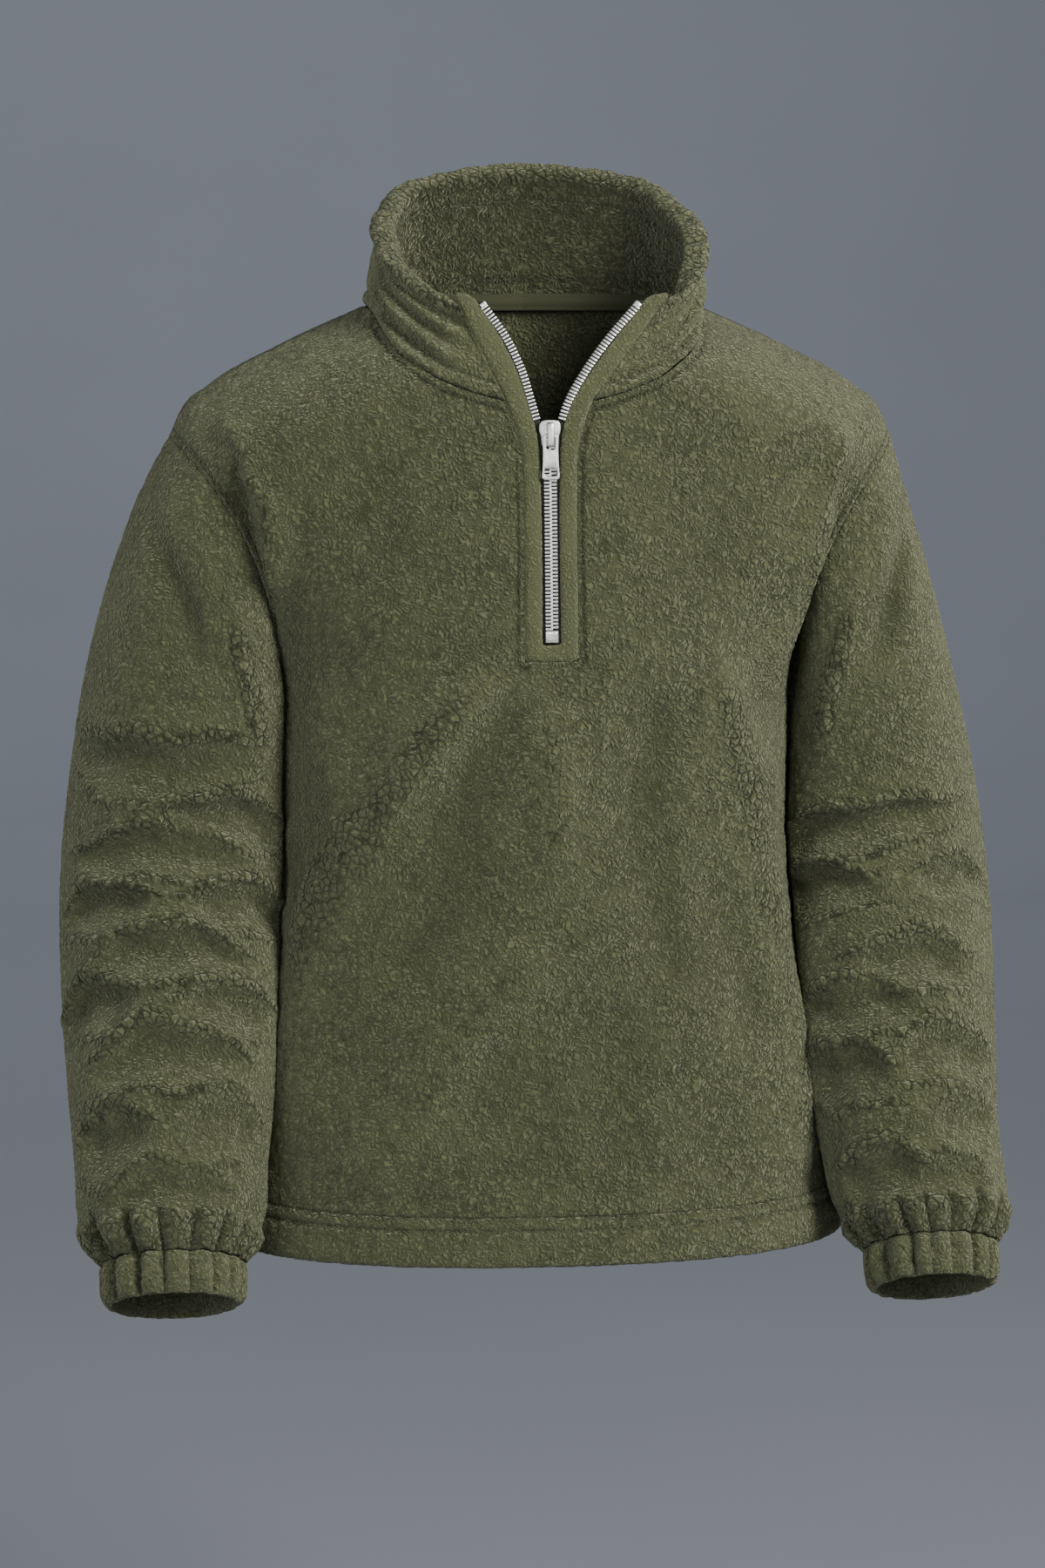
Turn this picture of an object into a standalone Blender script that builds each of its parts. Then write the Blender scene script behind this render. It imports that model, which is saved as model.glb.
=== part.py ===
"""Quarter zip pullover of thick olive fleece, standing open as it is worn.

Sizes are in millimetres and become metres in add_object. +Z is up, the wearer faces -Y and the
wearer's left is +X. The origin is midway between the two points where the shoulder seams meet the neck.
"""

import math

import bmesh
import bpy
import numpy as np

MM = 0.001
FLEECE = 4.0  # wall of body and sleeves
SEAM = 0.4  # room between two pieces sewn to each other
SIDES = {"right": -1, "left": 1}  # the wearer's sides, and the sign of x there


def table(names, *rows):
    """The columns of a table by name, each an array with an entry for each row."""
    columns = zip(*rows)
    return {name: np.array(column, float) for name, column in zip(names.split(), columns)}


# Body: half its width at the side seams and its depth to the front and to the back of x = 0.
# Above the underarm the half width is that of the section which the armholes cut short.
BODY = table(
    "z half front back",
    (-690, 227, 139, 120),
    (-660, 224, 138, 119),
    (-616, 215, 137, 118),
    (-566, 206, 135, 117),
    (-508, 198, 133, 116),
    (-406, 183, 130, 113),
    (-320, 182, 129, 112),
    (-245, 188, 128, 111),
    (-225, 197, 127, 110),
    (-200, 214, 125, 109),
    (-170, 236, 122, 107),
    (-120, 262, 116, 102),
    (-60, 280, 111, 92),
    (0, 290, 106, 78),
)
BODY_CORNER = 2.3  # 2 is an ellipse, more is squarer

# Shoulder line from the middle of the neck to the top of the armhole.
SHOULDER = table(
    "x y z",
    (0, 16, 46),
    (60, 16, 22),
    (118, 15, -4),
    (180, 12, -32),
    (230, 9, -60),
    (249, 8, -77),
    (257, 8, -95),
)
SHOULDER_ROUND = 75.0  # drop below the shoulder line over which front and back reach their full depth

NECK_POINT = (118.0, -4.0)
ARMHOLE = ((188.0, -245.0), (186.0, -198.0), (214.0, -140.0), (257.0, -95.0))  # Bezier points in x, z
FRONT_NECK = table("x z", (30, -67), (55, -60), (88, -44), (108, -25), (118, -4))
BACK_NECK = table("x z", (0, -5), (60, -5), (118, -4))
UNDERARM_Z = ARMHOLE[0][1]
HEM_TOP_Z = -633.0

# Zip opening, up its right and left side: x of the placket strip's two edges and of the teeth,
# counted from the middle. Above the collar's seam the outer edge runs straight to the rim's end.
OPENING = {
    "right": table(
        "z outer inner teeth",
        (-245, 18.5, 6.5, 0.3),
        (-127, 18.5, 6.5, 0.3),
        (-100, 19.5, 7.2, 0.8),
        (-84, 23.5, 10, 5.6),
        (-67, 30, 15.5, 10.5),
        (-44, 41, 23, 17.5),
        (-22, 51.5, 34, 28),
        (2, 63, 50, 45),
    ),
    "left": table(
        "z outer inner teeth",
        (-245, 18.5, 6.5, 0.3),
        (-127, 18.5, 6.5, 0.3),
        (-100, 19.5, 7.2, 0.8),
        (-84, 23.5, 9.5, 5.0),
        (-67, 30, 16, 11),
        (-44, 47.3, 32, 25),
        (-22, 63.9, 49, 42),
        (2, 83, 69, 64),
    ),
}
TEETH_FROM_MIDDLE = 0.3
NECK_SEAM_Z = -67.0
OPENING_TOP_Z = 2.0
NECK_TAPE_FROM = 0.27  # share of the neckline, from each side of the opening, that it leaves free
NECK_TAPE_THICK = 1.5
NECK_TAPE_GAP = 0.9
NECK_TAPE_HEIGHT = 10.6
NECK_TAPE_LOW = -5.5
PLACKET_THICK = 5.0
PLACKET_BASE_HEIGHT = 11.0
PLACKET_GAP = 0.5
PLACKET_BULGE = 1.2
TAPE_THICK = 1.0
TAPE_SUNK = 2.4  # depth of the tape's face behind the strip's face
TEETH_THICK = 2.2
SLIDER_TOP_Z = -79.0
STOP_TOP_Z = -223.5
STOP_HEIGHT = 8.0

# Collar: its rolled rim from the wearer's right front edge round the back to the left one.
RIM = table(
    "share x y z",
    (0.00, -63, -101, 2),
    (0.10, -86, -82, 16),
    (0.20, -108, -44, 38),
    (0.31, -109, 8, 62),
    (0.41, -80, 58, 85),
    (0.50, 0, 80, 96),
    (0.59, 80, 58, 87),
    (0.69, 111, 8, 66),
    (0.80, 115, -38, 38),
    (0.90, 103, -72, 14),
    (1.00, 83, -93, 2),
)
COLLAR_LIFT = 0.7  # its base above the panels' neckline
# Collar section: height as a share of base to rim, and distance in from the outer face.
COLLAR_SECTION = table(
    "height depth",
    (0.00, 0.0),
    (0.25, -1.0),
    (0.50, -1.0),
    (0.72, 0.5),
    (0.84, -1.5),
    (0.95, -1.0),
    (1.00, 3.5),
    (1.00, 9.0),
    (0.95, 13.0),
    (0.85, 13.0),
    (0.72, 9.5),
    (0.40, 9.0),
    (0.00, 8.5),
)
# Soft folds across the collar's outer face: where each starts and ends, as shares of its length and
# height, its half width as a share of the height, and its depth, minus for a valley.
COLLAR_FOLDS = table(
    "share_a height_a share_b height_b width depth",
    (0.20, 0.66, 0.05, 0.38, 0.10, -5.0),
    (0.24, 0.40, 0.08, 0.10, 0.09, -4.0),
    (0.80, 0.62, 0.96, 0.30, 0.10, -5.0),
    (0.77, 0.36, 0.90, 0.06, 0.09, -3.5),
    (0.36, 0.50, 0.47, 0.34, 0.11, -3.0),
    (0.66, 0.52, 0.55, 0.30, 0.11, -3.0),
)

# Sleeve: centre of each ring, its half width and half depth, and how far its plane leans so that
# the forearm points forward.
SLEEVE = table(
    "z x y half_width half_depth lean",
    (-666, 263.5, -109, 47, 47, 25.5),
    (-656, 263.5, -104, 56, 55, 25.5),
    (-640, 263.5, -96, 64, 62, 25.5),
    (-600, 263, -77, 68, 67, 25),
    (-550, 261, -54, 74, 71, 24),
    (-500, 259, -31, 79, 75, 21),
    (-450, 256, -10, 83, 78, 16),
    (-408, 253, 4, 85, 80, 10),
    (-333, 250, 12, 80, 80, 4),
    (-250, 247, 10, 69, 78, 1),
    (-182, 236, 8, 61, 74, 0),
    (-130, 221, 8, 56, 70, 0),
    (-90, 206, 7, 49, 64, 0),
)
# The left sleeve hangs a little closer: changes to its centre's x and to its half width.
LEFT_SLEEVE = table(
    "z x half_width",
    (-666, 9, -3.5),
    (-640, 5, -4),
    (-600, 0, -4),
    (-500, -3, -3.5),
    (-420, -3, -3.5),
    (-333, -4, -5),
    (-260, -7, -7),
    (-182, -7, -7),
    (-130, -5, -5),
    (-90, 0, 0),
)
SLEEVE_END_Z = -666.0
SLEEVE_CLEAR = 2.0  # room between a sleeve and the body beside it

# Folds of each sleeve: height and angle of the middle (0 outer side, 90 front, 180 body side,
# 270 back), half its angular length, how far its ends drop, its slope over 90 degrees, its half
# width and its depth, minus for a trough.
SLEEVE_FOLDS = {
    "right": table(
        "z angle span droop slope width depth",
        (-324, 68, 50, -8, 6, 16, -7),
        (-364, 108, 34, 8, 14, 13, -9),
        (-387, 77, 42, 12, 2, 13, -10),
        (-430, 46, 26, 8, -8, 13, -9),
        (-432, 124, 30, 6, 6, 13, -9),
        (-466, 83, 40, 12, 0, 13, -9),
        (-500, 40, 28, 8, -8, 13, -9),
        (-506, 118, 30, 8, 6, 13, -8),
        (-537, 84, 42, 12, 0, 14, -9),
        (-592, 46, 26, 6, -12, 15, -8),
        (-584, 120, 28, 4, 8, 15, -6),
        (-626, 82, 40, 10, -6, 10, -6),
        (-352, 250, 40, 8, -8, 14, -7),
        (-396, 292, 42, 8, 10, 13, -8),
        (-440, 240, 40, 8, -6, 13, -8),
        (-484, 288, 38, 8, 8, 13, -7),
        (-532, 246, 40, 8, -6, 14, -7),
        (-580, 290, 38, 8, 8, 14, -7),
    ),
    "left": table(
        "z angle span droop slope width depth",
        (-378, 110, 56, 4, 24, 12, -10),
        (-424, 138, 34, 4, 6, 14, -9),
        (-418, 56, 24, 6, 4, 12, -6),
        (-482, 84, 34, 8, 4, 13, -9),
        (-512, 124, 38, 8, 4, 13, -9),
        (-546, 70, 34, 8, 6, 13, -7),
        (-556, 138, 32, 6, -12, 14, -8),
        (-592, 60, 24, 6, 4, 13, -6),
        (-626, 126, 34, 4, -6, 13, -8),
        (-630, 76, 24, 6, -4, 11, -6),
        (-346, 286, 42, 8, 8, 14, -7),
        (-392, 244, 40, 8, -8, 13, -8),
        (-438, 290, 40, 8, 8, 13, -8),
        (-486, 242, 38, 8, -6, 13, -7),
        (-534, 288, 40, 8, 6, 14, -7),
        (-582, 248, 38, 8, -8, 14, -7),
    ),
}
# Long drapes down the upper part of each sleeve, from the armhole: angles and heights of the two ends.
SLEEVE_DRAPES = table(
    "z_a angle_a z_b angle_b width depth",
    (-150, 52, -300, 104, 13, 5),
    (-170, 84, -330, 128, 12, -5),
    (-160, 310, -320, 262, 14, 5),
    (-180, 276, -330, 236, 12, -5),
)

# Drapes of the body: ends in x and z, half width and depth, minus for a trough.
FRONT_FOLDS = table(
    "x_a z_a x_b z_b width depth",
    (-196, -105, -158, -240, 15, 7),
    (-172, -150, -186, -330, 14, -7),
    (-46, -275, -160, -500, 26, 7),
    (-30, -290, -86, -460, 24, -5),
    (52, -290, 92, -470, 22, -5),
    (112, -270, 168, -470, 20, 6),
    (168, -470, 196, -612, 20, 5),
    (12, -470, -122, -612, 26, 4),
    (186, -110, 168, -230, 14, 7),
    (170, -240, 166, -340, 14, 4),
    (190, -150, 184, -300, 12, -6),
    (0, -500, 60, -620, 30, -3),
)
BACK_FOLDS = table(
    "x_a z_a x_b z_b width depth",
    (-190, -110, -150, -260, 15, 6),
    (186, -110, 150, -250, 15, 6),
    (-60, -250, -150, -500, 26, 6),
    (50, -280, 140, -520, 26, 6),
    (-10, -300, -30, -560, 28, -5),
    (100, -200, 60, -360, 24, -4),
    (-170, -420, -190, -600, 20, 4),
)

GATHERS = 16  # round each cuff
GATHER_DEPTH = 2.2
# Cuff section down its length: growth of its radius, and the share of the gathers' depth.
CUFF_OUTER = table(
    "down grow gathers",
    (0, -1.5, 0.5),
    (4, 1.6, 1.0),
    (15, 2.2, 1.0),
    (25, 1.4, 0.9),
    (30, -0.8, 0.5),
)
CUFF_INNER = table("down grow", (29.5, -4.2), (15, -4.0), (0, -6.0))

# Slider: half width at each height over the pull's axis.
SLIDER = table(
    "height half",
    (-7.5, 6.0),
    (0.0, 6.4),
    (3.0, 7.8),
    (8.6, 7.8),
    (10.8, 6.6),
    (11.8, 4.6),
)
SLIDER_LENGTH = 19.3
SLIDER_THICK = 1.8
SLIDER_FACE = 2.3  # its face in front of the placket's
BRIDGE_WIDTH = 4.4
# Bridge from its lower to its upper foot: height and lift of its under side and of its top.
BRIDGE = table(
    "under_height under_lift top_height top_lift",
    (-5.6, -0.9, -7.2, -0.9),
    (-5.6, 2.2, -7.2, 3.0),
    (-4.6, 3.0, -5.2, 4.2),
    (6.4, 3.0, 7.0, 4.2),
    (7.6, 2.2, 9.4, 3.0),
    (7.6, -0.9, 9.6, -0.9),
)
PULL_AXIS_Z = -90.7
PULL_AXIS_OUT = 1.6  # in front of the slider's face
PULL_THICK = 1.4
# Pull tab: half width at each height under its axis, with a slot below the first bar.
PULL = table(
    "height half",
    (0.8, 5.4),
    (-0.8, 5.9),
    (-9.4, 5.7),
    (-22.4, 5.9),
    (-28.6, 6.3),
    (-31.0, 6.1),
)
PULL_SLOT_SHARE = 0.56
PULL_WINDOW_SHARE = 0.74
CHAIN_HALF = 4.0
STOP_HALF = 5.6

# Hem section: distance down from its top, and distance out of the body's face.
HEM_SECTION = table(
    "down out",
    (0, -0.6),
    (2.5, 1.2),
    (6.5, 1.2),
    (9, -0.6),
    (12, 1.6),
    (24, 2.2),
    (32, 1.6),
    (35, -1.0),
    (35, -4.0),
    (31, -6.0),
    (12, -6.0),
    (0, -5.0),
)

# Rows and columns of the meshes.
LOW_ROWS = 10
ARM_ROWS = 8
SHOULDER_COLUMNS = 5
NECK_COLUMNS = 5
SLEEVE_ROUND = 4 * ARM_ROWS
CAP_RINGS = 7
FOLD_RINGS = 18
GATHER_RINGS = 3
COLLAR_STEPS = 2  # columns of the collar for each column of the panels' neck
HEM_ROUND = 48


# ---------------------------------------------------------------- smooth tables and curves


def through(xs, ys, at):
    """A smooth curve through points with rising xs, read at the given places."""
    slopes = np.gradient(ys, xs)
    i = np.clip(np.searchsorted(xs, at) - 1, 0, len(xs) - 2)
    span = xs[i + 1] - xs[i]
    t = np.clip((at - xs[i]) / span, 0.0, 1.0)
    start = (1 + 2 * t) * (1 - t) ** 2 * ys[i] + t * (1 - t) ** 2 * span * slopes[i]
    end = t * t * (3 - 2 * t) * ys[i + 1] + t * t * (t - 1) * span * slopes[i + 1]
    return start + end


def step(low, high, at):
    """0 below low, 1 above high, smooth between them."""
    t = np.clip((at - low) / (high - low), 0.0, 1.0)
    return t * t * (3 - 2 * t)


def unit(vectors):
    length = np.linalg.norm(vectors, axis=-1, keepdims=True)
    return vectors / np.maximum(length, 1e-9)


def spaced(points, count):
    """Points of a polyline, count + 1 of them, at equal distances along it."""
    points = np.asarray(points, float)
    steps = np.linalg.norm(np.diff(points, axis=0), axis=1)
    along = np.concatenate([[0.0], np.cumsum(steps)])
    wanted = np.linspace(0.0, along[-1], count + 1)
    return np.stack([np.interp(wanted, along, points[:, k]) for k in range(points.shape[1])], axis=1)


def bezier(points, t):
    p0, p1, p2, p3 = (np.array(p) for p in points)
    t = np.asarray(t)[:, None]
    return (1 - t) ** 3 * p0 + 3 * t * (1 - t) ** 2 * p1 + 3 * t * t * (1 - t) * p2 + t**3 * p3


def line_fold(x, z, fold):
    """Height of a fold along a straight line, with soft sides and ends."""
    ax, az, bx, bz, width, depth = fold
    dx, dz = bx - ax, bz - az
    length = math.hypot(dx, dz)
    along = ((x - ax) * dx + (z - az) * dz) / length
    across = ((x - ax) * dz - (z - az) * dx) / length
    inside = step(-0.15 * length, 0.25 * length, along) * (1 - step(0.75 * length, 1.15 * length, along))
    return depth * inside * np.exp(-0.5 * (across / width) ** 2)


def rows_of(folds):
    return zip(*folds.values())


# ---------------------------------------------------------------- the body's surface


def body_half(z):
    return through(BODY["z"], BODY["half"], z)


def torso_y(x, z, face):
    """y of the front or back at x, z: a rounded section that closes onto the shoulder line."""
    reach = np.abs(x)
    share = np.clip(reach / body_half(z), 0.0, 1.0)
    depth = through(BODY["z"], BODY[face], z) * (1 - share**BODY_CORNER) ** (1 / BODY_CORNER)
    drop = through(SHOULDER["x"], SHOULDER["z"], reach) - z
    full = np.sqrt(1 - (1 - np.clip(drop / SHOULDER_ROUND, 0.0, 1.0)) ** 2)
    ridge = through(SHOULDER["x"], SHOULDER["y"], reach)
    sign = -1 if face == "front" else 1
    return ridge * (1 - full) + sign * depth * full


def on_torso(xz, face):
    x, z = xz[..., 0], xz[..., 1]
    return np.stack([x, torso_y(x, z, face), z], axis=-1)


def armhole(face):
    """Points of the armhole's front or back half from the underarm to the shoulder, for x > 0."""
    line = on_torso(bezier(ARMHOLE, np.linspace(0, 1, 200)), face)
    line[0, 1] = 0.0
    line[-1, 1] = SHOULDER["y"][-1]
    return spaced(line, ARM_ROWS)


def shoulder_seam(count):
    """x, z points from the armhole to the neck."""
    x = np.linspace(SHOULDER["x"][-1], NECK_POINT[0], 60)
    return spaced(np.stack([x, through(SHOULDER["x"], SHOULDER["z"], x)], axis=1), count)


def neckline(neck, count):
    """x, z points from the neck point to the middle."""
    x = np.linspace(NECK_POINT[0], neck["x"][0], 60)
    return spaced(np.stack([x, through(neck["x"], neck["z"], x)], axis=1), count)


def patch(left, right, bottom, top):
    """A grid of x, z points between four edges that meet at their ends."""
    u = np.linspace(0, 1, len(bottom))[None, :, None]
    v = np.linspace(0, 1, len(left))[:, None, None]
    sides = (1 - u) * left[:, None] + u * right[:, None]
    ends = (1 - v) * bottom[None] + v * top[None]
    corners = (1 - v) * ((1 - u) * bottom[0] + u * bottom[-1]) + v * ((1 - u) * top[0] + u * top[-1])
    return sides + ends - corners


def across_body(z, inner, columns):
    """x from the side seam at x > 0 to the inner column, closer together round the corner."""
    half = float(body_half(np.array(z)))
    last = math.asin((inner / half) ** (BODY_CORNER / 2))
    return half * np.sin(np.linspace(math.pi / 2, last, columns + 1)) ** (2 / BODY_CORNER)


def notch_edge():
    """x, z points up the front panel's edge beside the zip, for x > 0."""
    opening = OPENING["left"]
    z = np.linspace(UNDERARM_Z, NECK_SEAM_Z, 80)
    return spaced(np.stack([through(opening["z"], opening["outer"], z), z], axis=1), ARM_ROWS)


def half_panel(face):
    """x, z points of half a panel at x > 0: rows up from the hem, columns in from the side."""
    if face == "front":
        edge = notch_edge()
        top = np.concatenate([shoulder_seam(SHOULDER_COLUMNS), neckline(FRONT_NECK, NECK_COLUMNS)[1:]])
    else:
        edge_z = np.linspace(UNDERARM_Z, BACK_NECK["z"][0], ARM_ROWS + 1)
        edge = np.stack([np.zeros(ARM_ROWS + 1), edge_z], axis=1)
        top = np.concatenate([shoulder_seam(SHOULDER_COLUMNS), neckline(BACK_NECK, NECK_COLUMNS)[1:]])
    inner = edge[0, 0]
    columns = SHOULDER_COLUMNS + NECK_COLUMNS
    bottom = np.stack([across_body(UNDERARM_Z, inner, columns), np.full(columns + 1, UNDERARM_Z)], axis=1)
    upper = patch(armhole(face)[:, [0, 2]], edge, bottom, top)
    lower = []
    for z in np.linspace(HEM_TOP_Z + SEAM, UNDERARM_Z, LOW_ROWS + 1)[:-1]:
        x = across_body(z, inner, columns)
        lower.append(np.stack([x, np.full(len(x), z)], axis=1))
    return np.concatenate([np.array(lower), upper])


def fold_height(points, folds, face):
    """Height of the body's drapes, which die away at every edge."""
    x, z = points[..., 0], points[..., 2]
    height = np.zeros(x.shape)
    for fold in rows_of(folds):
        height += line_fold(x, z, fold)
    reach = np.abs(x)
    height *= 1 - step(0.84, 0.96, reach / body_half(z))
    arm = armhole(face)
    arm_x = through(arm[:, 2], arm[:, 0], z)
    height *= np.where(z > UNDERARM_Z, 1 - step(-30, -8, reach - arm_x), 1.0)
    height *= step(HEM_TOP_Z + 4, HEM_TOP_Z + 34, z)
    if face == "front":
        height *= step(18, 34, reach)
    return height


# ---------------------------------------------------------------- meshes


def normals_of(points, faces):
    """A unit normal for each point, from the faces round it."""
    normals = np.zeros(points.shape)
    for face in faces:
        corners = points[list(face)]
        normal = np.zeros(3)
        for a, b in zip(corners, np.roll(corners, -1, axis=0)):
            normal += np.cross(a - corners[0], b - corners[0])
        for index in face:
            normals[index] += normal
    return unit(normals)


def open_edges(faces):
    """Edges with one face, each in the direction in which its face runs."""
    edges = {}
    for face in faces:
        for a, b in zip(face, face[1:] + face[:1]):
            if (b, a) in edges:
                del edges[(b, a)]
            else:
                edges[(a, b)] = True
    return list(edges)


def add_object(name, points, faces, finish):
    """A closed mesh with its faces turned outward, as an object of that name."""
    mesh = bpy.data.meshes.new(name)
    mesh.from_pydata((np.asarray(points) * MM).tolist(), [], [list(face) for face in faces])
    shape = bmesh.new()
    shape.from_mesh(mesh)
    bmesh.ops.recalc_face_normals(shape, faces=shape.faces)
    shape.to_mesh(mesh)
    shape.free()
    mesh.shade_smooth()
    mesh.set_sharp_from_angle(angle=math.radians(50))
    piece = bpy.data.objects.new(name, mesh)
    mesh.materials.append(material(name, **finish))
    bpy.context.scene.collection.objects.link(piece)
    return piece


def add_wall(name, points, faces, thickness, finish, inward=None):
    """A piece of cloth: its outer points and faces, its inner face behind them and its cut edges."""
    count = len(points)
    normals = normals_of(points, faces) if inward is None else inward
    inner = points - normals * thickness
    walls = list(faces) + [tuple(i + count for i in reversed(face)) for face in faces]
    for a, b in open_edges(faces):
        walls.append((b, a, a + count, b + count))
    return add_object(name, np.concatenate([points, inner]), walls, finish)


def add_loft(name, rings, closed, finish):
    """Rings of points joined in order, with flat ends or joined back to the first ring."""
    count, size = rings.shape[:2]
    faces = []
    for i in range(count if closed else count - 1):
        for j in range(size):
            k = (j + 1) % size
            a, b = i * size, (i + 1) % count * size
            faces.append((a + j, a + k, b + k, b + j))
    if not closed:
        faces.append(tuple(range(size))[::-1])
        faces.append(tuple(range((count - 1) * size, count * size)))
    return add_object(name, rings.reshape(-1, 3), faces, finish)


def material(name, colour, roughness, metallic=0.0):
    made = bpy.data.materials.new(name)
    made.use_nodes = True
    shader = made.node_tree.nodes["Principled BSDF"]
    shader.inputs["Base Color"].default_value = (*colour, 1.0)
    shader.inputs["Roughness"].default_value = roughness
    shader.inputs["Metallic"].default_value = metallic
    made.diffuse_color = (*colour, 1.0)
    return made


OLIVE = {"colour": (0.088, 0.092, 0.050), "roughness": 0.95}
OLIVE_LIGHT = {"colour": (0.105, 0.108, 0.060), "roughness": 0.95}
TAPE = {"colour": (0.035, 0.038, 0.030), "roughness": 0.85}
STEEL = {"colour": (0.62, 0.62, 0.60), "roughness": 0.28, "metallic": 1.0}


# ---------------------------------------------------------------- panels


def panel_grid(face):
    """Outer points of a panel and its faces. The front has a middle column below its opening."""
    half = half_panel(face)
    if face == "front":
        middle = half[:, -1:] * np.array([0.0, 1.0])
        other = half * np.array([-1.0, 1.0])
        grid = np.concatenate([other, middle, half[:, ::-1]], axis=1)
    else:
        grid = np.concatenate([half * np.array([-1.0, 1.0]), half[:, -2::-1]], axis=1)
    points = on_torso(grid, face)
    points[: LOW_ROWS + 1, [0, -1], 1] = 0.0
    arm = armhole(face)
    points[LOW_ROWS:, -1] = arm
    points[LOW_ROWS:, 0] = arm * np.array([-1.0, 1.0, 1.0])
    rows, columns = points.shape[:2]
    open_from = columns // 2
    faces = []
    for i in range(rows - 1):
        for j in range(columns - 1):
            if face == "front" and i >= LOW_ROWS and j in (open_from - 1, open_from):
                continue
            a, b = i * columns + j, (i + 1) * columns + j
            quad = (a, a + 1, b + 1, b)
            faces.append(quad if face == "front" else quad[::-1])
    return points, faces


def drop_unused(points, faces, *others):
    used = sorted({index for face in faces for index in face})
    place = {index: k for k, index in enumerate(used)}
    kept = [array[used] for array in (points, *others)]
    return kept, [tuple(place[index] for index in face) for face in faces]


def panels():
    """Outer points, normals and faces of front and back, with the same normals along the seams they share."""
    found = {}
    for face, folds in (("front", FRONT_FOLDS), ("back", BACK_FOLDS)):
        grid, faces = panel_grid(face)
        flat = grid.reshape(-1, 3)
        normals = normals_of(flat, faces)
        flat = flat + normals * fold_height(flat, folds, face)[:, None]
        normals = normals_of(flat, faces).reshape(grid.shape)
        normals[0] = unit(normals[0] * np.array([1.0, 1.0, 0.0]))
        found[face] = [flat.reshape(grid.shape), normals, faces]
    front, back = found["front"][1], found["back"][1]
    for column in (0, -1):
        shared = unit(front[:, column] + back[:, column])
        front[:, column] = shared
        back[:, column] = shared
    for k in range(SHOULDER_COLUMNS + 1):
        for column in (k, -1 - k):
            shared = unit(front[-1, column] + back[-1, column])
            front[-1, column] = shared
            back[-1, column] = shared
    return found


def pulled_in(points, faces, distance):
    """Points moved off every cut edge, within the surface, so that neighbours keep their room."""
    moves = np.zeros(points.shape)
    for face in faces:
        middle = points[list(face)].mean(axis=0)
        for index in face:
            moves[index] += middle - points[index]
    edge = np.zeros(len(points), bool)
    tangents = np.zeros(points.shape)
    for a, b in open_edges(faces):
        edge[[a, b]] = True
        tangents[a] += points[b] - points[a]
        tangents[b] += points[b] - points[a]
    tangents = unit(tangents)
    moves -= (moves * tangents).sum(axis=1, keepdims=True) * tangents
    return points + unit(moves) * (edge * distance)[:, None]


def add_panels(found):
    for face, name in (("front", "front_panel"), ("back", "back_panel")):
        grid, normals, faces = found[face]
        (points, inward), faces = drop_unused(grid.reshape(-1, 3), faces, normals.reshape(-1, 3))
        points = pulled_in(points, faces, SEAM / 2)
        add_wall(name, points, faces, FLEECE, OLIVE, inward)


# ---------------------------------------------------------------- sleeves


def sleeve_surface(angle, z, side):
    """Plain tube of a sleeve at x > 0: angle 0 is its outer side and 90 degrees its front."""
    read = {name: through(SLEEVE["z"], SLEEVE[name], z) for name in SLEEVE if name != "z"}
    if side == "left":
        for name in ("x", "half_width"):
            read[name] = read[name] + through(LEFT_SLEEVE["z"], LEFT_SLEEVE[name], z)
    lean = np.radians(read["lean"])
    side = read["half_width"] * np.cos(angle)
    front = read["half_depth"] * np.sin(angle)
    x = read["x"] + side
    y = read["y"] - front * np.cos(lean)
    return np.stack([x, y, z + front * np.sin(lean)], axis=-1)


def sleeve_fold_height(angle, z, side):
    degrees = np.degrees(angle) % 360
    height = np.zeros(z.shape)
    for middle, centre, span, droop, slope, width, depth in rows_of(SLEEVE_FOLDS[side]):
        turn = (degrees - centre + 180) % 360 - 180
        share = turn / span
        line = middle - droop * share**2 - slope * turn / 90
        inside = 1 - step(0.55, 1.25, np.abs(share))
        off = (z - line) / width
        height += depth * inside * (np.exp(-0.5 * off**2) - 0.45 * np.exp(-0.5 * (off + 1.7) ** 2))
    for z_a, angle_a, z_b, angle_b, width, depth in rows_of(SLEEVE_DRAPES):
        turn = (degrees - angle_a + 180) % 360 - 180
        end = (angle_b - angle_a + 180) % 360 - 180
        scale = 1.3
        height += line_fold(turn * scale, z, (0, z_a, end * scale, z_b, width, depth))
    return height


def clear_of_body(points):
    """Points pushed out of the body's section, softly, from a little below the underarm."""
    x, y, z = points[..., 0], points[..., 1], points[..., 2]
    half = body_half(z) + SLEEVE_CLEAR
    face_depth = np.where(y < 0, through(BODY["z"], BODY["front"], z), through(BODY["z"], BODY["back"], z))
    level = ((x / half) ** BODY_CORNER + (np.abs(y) / (face_depth + SLEEVE_CLEAR)) ** BODY_CORNER) ** (
        1 / BODY_CORNER
    )
    soft = 0.01
    pushed = 1 + soft * np.logaddexp(0, (level - 1) / soft)
    share = 1 - step(UNDERARM_Z - 12, UNDERARM_Z + 4, z)
    scale = 1 + (pushed / level - 1) * share
    return points * np.stack([scale, scale, np.ones(scale.shape)], axis=-1)


def armhole_loop():
    """The armhole from the shoulder down the front to the underarm and up the back, for x > 0."""
    front = armhole("front")[::-1]
    back = armhole("back")
    loop = np.concatenate([front, back[1:-1]])
    halves = (loop + np.roll(loop, -1, axis=0)) / 2
    return np.stack([loop, halves], axis=1).reshape(-1, 3)


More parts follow.
